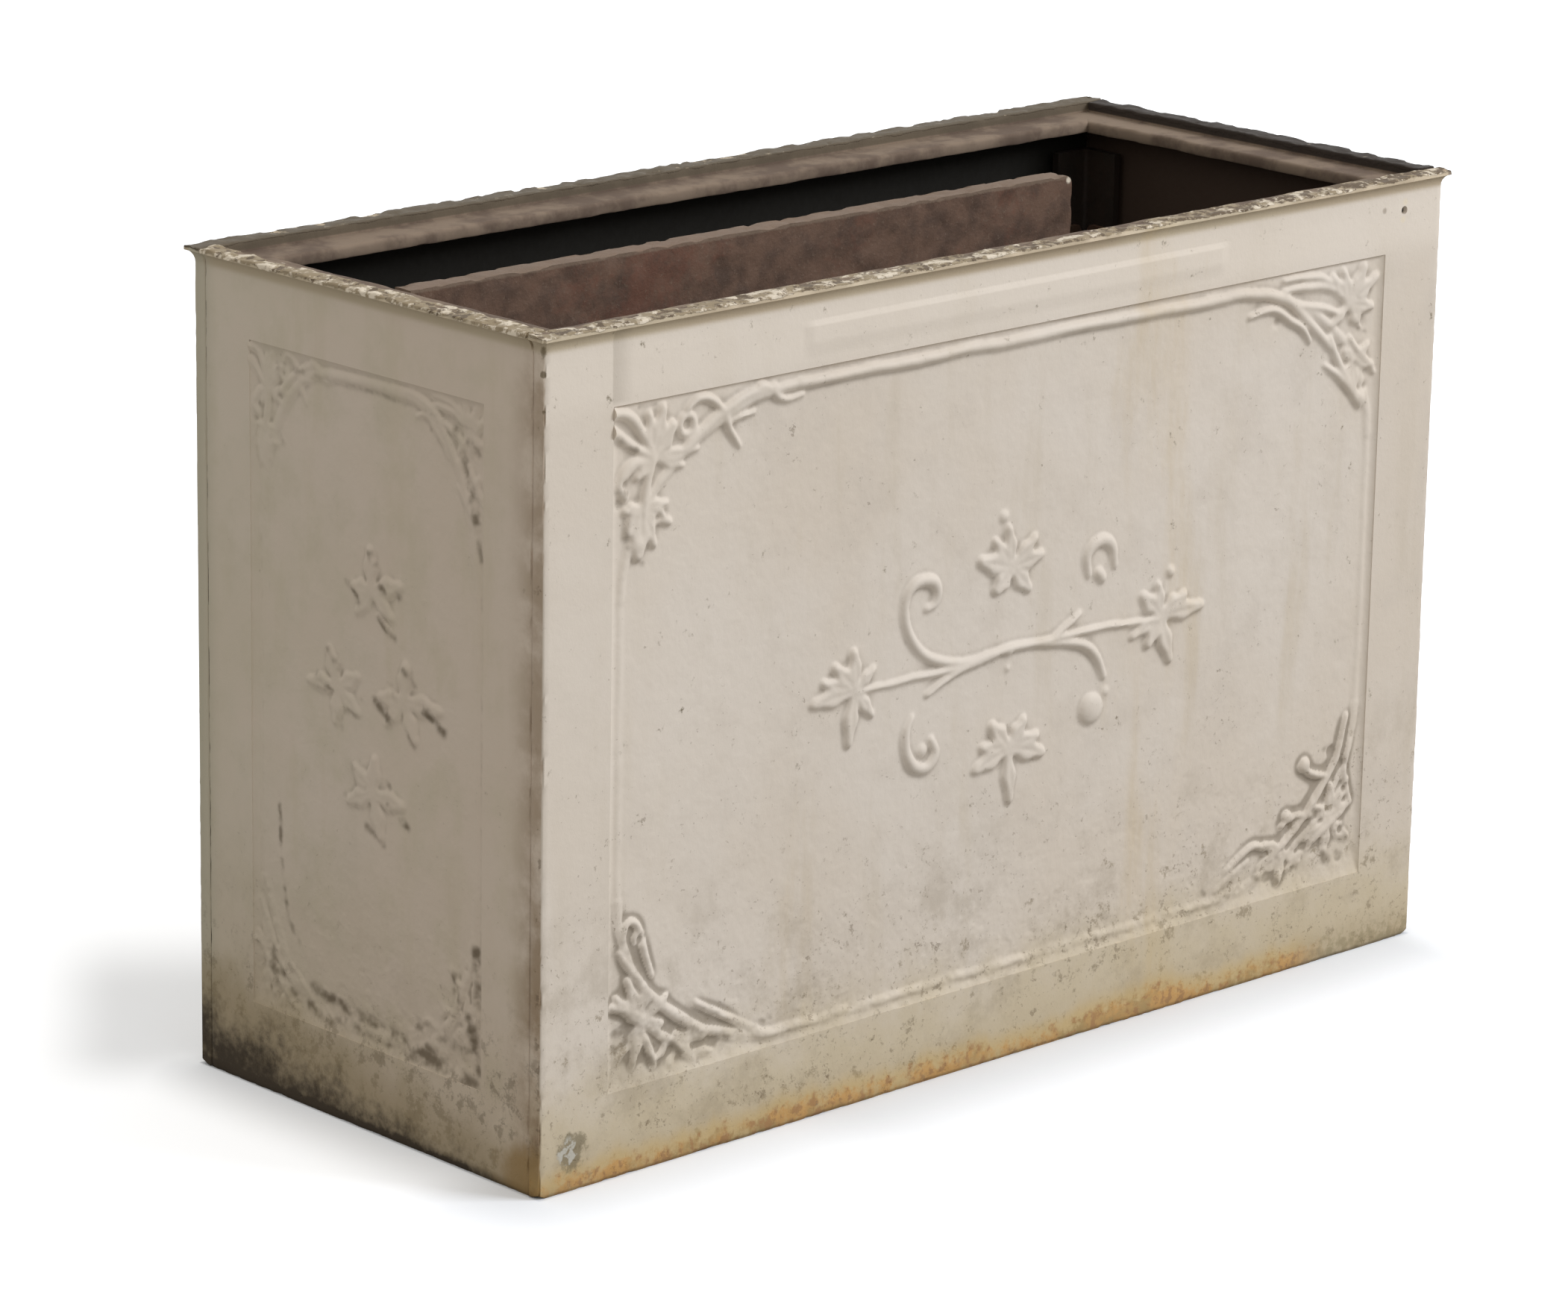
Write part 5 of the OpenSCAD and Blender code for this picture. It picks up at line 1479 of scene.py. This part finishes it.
def wet_foot(s, rust):
    """Olive and black dirt on the dirty side, and amber, rust and moss, as strong as rust says, elsewhere."""
    raised = s.z - s.y * BAND_TILT
    olive = (raised.step(0.065, 0.004) + s.mottle.sway(0.7)).step(0.1, 0.9)
    s.lay(olive * (s.dirt * 0.62), OLIVE)
    black = raised.step(0.043, -0.01) * 1.05 + s.mottle.sway(1.3) + s.grain.sway(0.8)
    s.black = (black.step(0.3, 1.15) + s.z.step(0.006, 0.001) * 0.6).clamp() * s.dirt
    clean = s.x.step(0.2, 0.24)
    mossy = (s.z.step(0.022, 0.0) + s.grain.sway(2.2) + s.blotch.sway(1.6)).step(0.4, 1.1)
    s.lay(mossy * clean * rust * 0.6, MOSS)
    along = s.noise(9, 3, 0.6, stretch=(1, 1, 0.02), shift=31)
    wet = s.z.step(0.024, 0.001) + s.streak.sway(0.9) + along.sway(1.3) + s.x.step(-0.05, 0.14) * 0.18
    bright_side = (1 - s.end_face * s.y.step(-0.12, -0.114)) * rust
    s.lay(wet.step(0.15, 0.85) * (1 - clean * 0.75) * bright_side * 0.75, s.mix(clean, AMBER, OLIVE))
    s.rusty = (wet + s.blotch.sway(1.5) + s.grain.sway(0.7)).step(0.64, 1.05)
    s.rusty = s.rusty * (1 - clean * 0.9) * bright_side
    orange = s.mix(s.mottle.step(0.4, 0.56), OCHRE_DEEP, ORANGE)
    s.lay(s.rusty * 0.6, s.mix(s.grain.step(0.5, 0.62), orange, RUST))
    s.lay(s.black * 0.93, DIRT)
    ochre = (s.y.step(-0.07, -0.12) * s.z.step(0.04, 0.006) + s.mottle.sway(1.0)).step(0.25, 0.8)
    s.lay(ochre * s.dirt * 0.72, OCHRE_DEEP)
    # The lowest two millimetres of every wall are darkened.
    s.lay(s.z.step(0.0022, 0.0004) * 0.5, DIRT)


print("the black band rises, mm in 100:", 100 * BAND_TILT)

# %% [markdown]
# Along the rim the paint is a thick broken crust: pale flakes that stand up, duller ones, and dark
# iron between them. The mesh has real chips there, and its `edge` mark says where the crust begins.
# Inside, the paint ends and the iron is brown on the ledge; below it the near black is painted shade, and the
# right end's worn rim is darkened with painted shade too.

# %% Crust of the rim and bare inside
LEDGE_BROWN, LEDGE_DARK = linear(138, 121, 105), linear(106, 90, 78)
# The hollow tones are painted shade inside below the ledge, the lighter one for the right end; the dark rim
# tone is painted shade on the right end's worn rim.
HOLLOW_SHADE, HOLLOW_HALF_SHADE = linear(19, 16, 9), linear(72, 57, 47)
RIM_BROWN, RIM_SHADED = linear(95, 86, 71), linear(42, 34, 28)


def rim_crust(s, top_worn, rim_iron_and_shade):
    """Flakes and bare gaps where the crust is; top_worn is how much of it is gone, down to
    rim_iron_and_shade: an iron tone, which on the right end is darkened as painted shade.
    """
    standing = (s.chunks * 0.5 + s.grain * 0.5 + s.broken.sway(0.5)).step(0.49, 0.58)
    bare = s.noise(190, 5, 0.7, shift=19) + (0.5 - s.chunks) * 0.4 + top_worn * 0.25
    bare = bare + s.x * 0.14 + s.cavity * 0.2
    flakes = s.mix(bare.step(0.56, 0.62), s.mix(standing, CRUST, FLAKE), CRUST_DARK)
    s.crusted = (s.edge + s.broken.sway(1.0) + s.chunks.sway(1.4)).step(0.45, 0.65)
    s.lay(s.crusted, s.mix(top_worn, flakes, rim_iron_and_shade))


def bare_inside(s, top_worn, rim_iron_and_shade, hollow_shade_tone):
    """Brown iron on the ledge, the worn rim's tone on the upstand over it, and below it hollow_shade_tone, a
    dark tone that is painted shade.
    """
    s.inside = (s.inner + s.broken.sway(0.5)).step(0.3, 0.42)
    iron = s.mix(s.mottle.step(0.4, 0.62), LEDGE_BROWN, LEDGE_DARK)
    iron = s.mix(s.z.step((LEDGE_TOP + 0.4) * MM, (LEDGE_TOP + 1.4) * MM) * top_worn, iron, rim_iron_and_shade)
    # below the ledge: painted shade
    iron = s.mix(s.z.step((LEDGE_TOP - 5) * MM, (LEDGE_TOP - 9) * MM), iron, hollow_shade_tone)
    s.lay(s.inside, iron)


print("brown iron ends at, mm:", LEDGE_TOP - 5)

# %% [markdown]
# A few marks have a place of their own on the front, and no noise would put them there: a corroded
# spot low on the left, knocks at the near corner, flecks by the nail hole and a faint seam of dirt.

# %% Marks of the front
KNOCKS = (((-303, -124, 398.5), 4.6), ((-301, -123.5, 388), 2.6), ((-301, -124, 371), 1.6))
FLECKS = ((HOLE_U + 0.5, -HALF_W, HOLE_Z + 4.2), (HOLE_U - 0.7, -HALF_W, HOLE_Z - 4.6))


def front_marks(s):
    """Round spots with edges broken by noise, and a thin band over the field's left border."""
    spot = (s.round_spot((-281, -HALF_W, 19), 15) + s.broken.sway(2.6)).step(0.45, 0.9)
    s.lay(spot * 0.65, KNOCK_RIM)
    bare = (s.round_spot((-284, -HALF_W, 19), 10) + s.broken.sway(2.6)).step(0.4, 0.9)
    s.lay(bare * s.grain.step(0.44, 0.52) * 0.8, KNOCK_PALE)
    for place, radius in KNOCKS:
        s.lay((s.round_spot(place, radius) + s.broken.sway(2.4)).step(0.3, 0.9) * 0.75, KNOCK_BROWN)
    s.lay(s.round_spot((HOLE_U - 15, -HALF_W, HOLE_Z + 1.5), 2.2) * 0.5, SPOT)
    tip = (s.round_spot((305, -129, 404), 6) + s.broken.sway(1.6)).step(0.3, 0.8)
    s.lay(tip * 0.8, LEDGE_DARK)
    seam = s.x.step(-0.2612, -0.2602) * s.x.step(-0.246, -0.2595)
    seam = seam * s.z.step(FIELD_TOP * MM, (FIELD_TOP + 3) * MM) * s.y.step(-0.1225, -0.1235)
    s.lay(seam * 0.22, GRIME_AND_SHADE)
    for place in FLECKS:
        s.lay(s.round_spot(place, 2.6), FLAKE)


print("knocks and flecks:", len(KNOCKS) + len(FLECKS))

# %% A painted casting's material


def painted_casting(name, stain, rust, dirt, top_worn=0.0, rim_iron_and_shade=LEDGE_DARK, hollow_shade_tone=HOLLOW_SHADE):
    """Old cream paint on a wall; stain, rust and dirt say how strong its ochre, orange and black feet are,
    top_worn how much of the rim's crust of paint is gone, down to rim_iron_and_shade, an iron tone that on
    the right end is painted shade. Below the ledge hollow_shade_tone is painted shade."""
    s = Paint(name, dirt)
    cream_coats(s)
    stains_and_specks(s, stain)
    end_face_edges(s)
    wet_foot(s, rust)
    rim_crust(s, top_worn, rim_iron_and_shade)
    bare_inside(s, top_worn, rim_iron_and_shade, hollow_shade_tone)
    if name == "front_paint":
        front_marks(s)
    relief = s.grain * 0.4 + s.spots * 0.2 + s.mottle * 0.8
    relief = relief - s.speckle * 0.2 - s.worn * 0.5 + s.crusted * s.chunks * 2.5
    rough = 0.62 + 0.25 * (s.inside + s.rusty + s.black * 0.5).clamp() + s.grain.sway(0.2)
    return s.principled(s.colour, rough, relief, 0.5, 0.0007)


paints = {
    "front_panel": painted_casting("front_paint", 0.9, 1.0, 0.08, 0.1),
    "back_panel": painted_casting("back_paint", 0.5, 0.5, 0.5, 0.8, RIM_BROWN),
    "left_end_panel": painted_casting("left_end_paint", 0.25, 0.1, 1.0),
    # the right end: painted shade on its worn rim, and a lighter painted shade below its ledge
    "right_end_panel": painted_casting("right_end_paint", 0.6, 0.7, 0.4, 0.95, RIM_SHADED, HOLLOW_HALF_SHADE),
}
print("paints:", len(paints))

# %% [markdown]
# ## Bare iron and rusty steel
# The partition, the angles, the base and the fixings were never painted. One function gives all three
# finishes, because rust looks alike on them: two browns in patches, traces of red oxide and pale
# specks. Only the partition has a worn top and a fleck of paint on its free end.

# %% Rusted iron
OXIDE = linear(118, 74, 58)


def rusted_iron(name, base, dark, pale, oxide_share, top_z=None, fleck=None):
    """Brown scaled iron, with oxide_share of red oxide; the last 4 mm below top_z are worn to the pale tone,
    and a fleck of paint sits at a place in mm."""
    s = Shader(bpy.data.materials.new(name))
    cloud, mottle = s.noise(11, 5, 0.6), s.noise(60, 6, 0.65, shift=4)
    grain, spots = s.noise(240, 5, 0.65, shift=6), s.noise(560, 3, 0.6, shift=9)
    colour = s.mix(mottle.step(0.36, 0.68), base, dark)
    colour = s.mix((cloud + grain.sway(0.4)).step(0.5, 0.7) * oxide_share, colour, OXIDE)
    colour = s.mix(spots.step(0.6, 0.7) * 0.4, colour, pale)
    if fleck:
        worn = (s.axes()[2].step((top_z - 4) * MM, top_z * MM) + grain.sway(0.8)).step(0.4, 0.8)
        colour = s.mix(worn * 0.7, colour, pale)
        colour = s.mix(s.round_spot(fleck, 2.4), colour, FLAKE)
    return s.principled(colour, 0.72 + grain.sway(0.3), mottle + grain * 0.6 + spots * 0.3, 0.6, 0.001)


plate_low, plate_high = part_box("partition_plate")
fleck_place = (plate_high.x / MM - 3, plate_low.y / MM, LEDGE_TOP - 2.5)
browns = [linear(112, 87, 72), linear(84, 65, 54), linear(132, 114, 98)]
irons = [linear(44, 36, 29), linear(32, 26, 20), linear(52, 44, 36)]
steels = [linear(88, 66, 50), linear(52, 42, 36), linear(128, 112, 96)]
partition_rust = rusted_iron("partition_rust", *browns, 0.5, LEDGE_TOP, fleck_place)
bare_iron = rusted_iron("bare_iron", *irons, 0.06)
rusty_steel = rusted_iron("rusty_steel", *steels, 0.5)
print("materials:", len(bpy.data.materials))

# %% [markdown]
# ## Putting the trough together
# Every casting takes the place of its CAD node, which is hidden. The back has a sunk field without foliage,
# so its map stays empty.

# %% Build the four panels
THIRDS = ("left", "middle", "right")
FIELDS = {
    "front_panel": (front_drawn, ["front_field_" + third for third in THIRDS]),
    "back_panel": (front_map(), ["back_field_" + third for third in THIRDS]),
    "left_end_panel": (end_drawn, ["left_end_field"]),
    "right_end_panel": (end_drawn, ["right_end_field"]),
}


def build_side(node, seed):
    """All the pieces of one panel: the wall with its rim, its ledge, foot flange, bosses and field."""
    wall, paint, short = WALLS[node], paints[node], node.replace("_panel", "")
    pieces = [
        build_wall(node, paint, seed),
        flange(short + "_ledge", wall, LEDGE, 1.4, paint, seed + 20),
        flange(short + "_foot_flange", wall, FOOT, 0.6, paint, seed + 30),
        bosses(short + "_bosses", wall, boss_places(node), paint),
        *build_fields(node, *FIELDS[node], paint, seed + 40),
    ]
    for piece in pieces:
        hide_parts(node)
    return len(pieces)


for k, node in enumerate(WALLS):
    print(node, "pieces:", build_side(node, 100 * (k + 1)))

# %% [markdown]
# The partition goes in last, as it does on the real trough. It was never painted, so it has a finish of its
# own.

# %% Build the partition
plate = build_partition(partition_rust)
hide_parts("partition_plate")
print("partition faces:", len(plate.data.polygons))

# %% [markdown]
# The angles, the base and the fixings keep their CAD shape. Rolled iron and screws are true to their
# drawing, and hardly seen, so they only take the bare iron and the rusty steel.

# %% Dress the other nodes
FIXING_WORDS = ("screw", "bolt", "nut")
kept_nodes = {name: kept for name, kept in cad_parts.items() if name not in (*WALLS, "partition_plate")}
for name, kept in kept_nodes.items():
    kept.data.materials.clear()
    kept.data.materials.append(rusty_steel if any(word in name for word in FIXING_WORDS) else bare_iron)
print("nodes that keep their CAD shape:", len(kept_nodes))
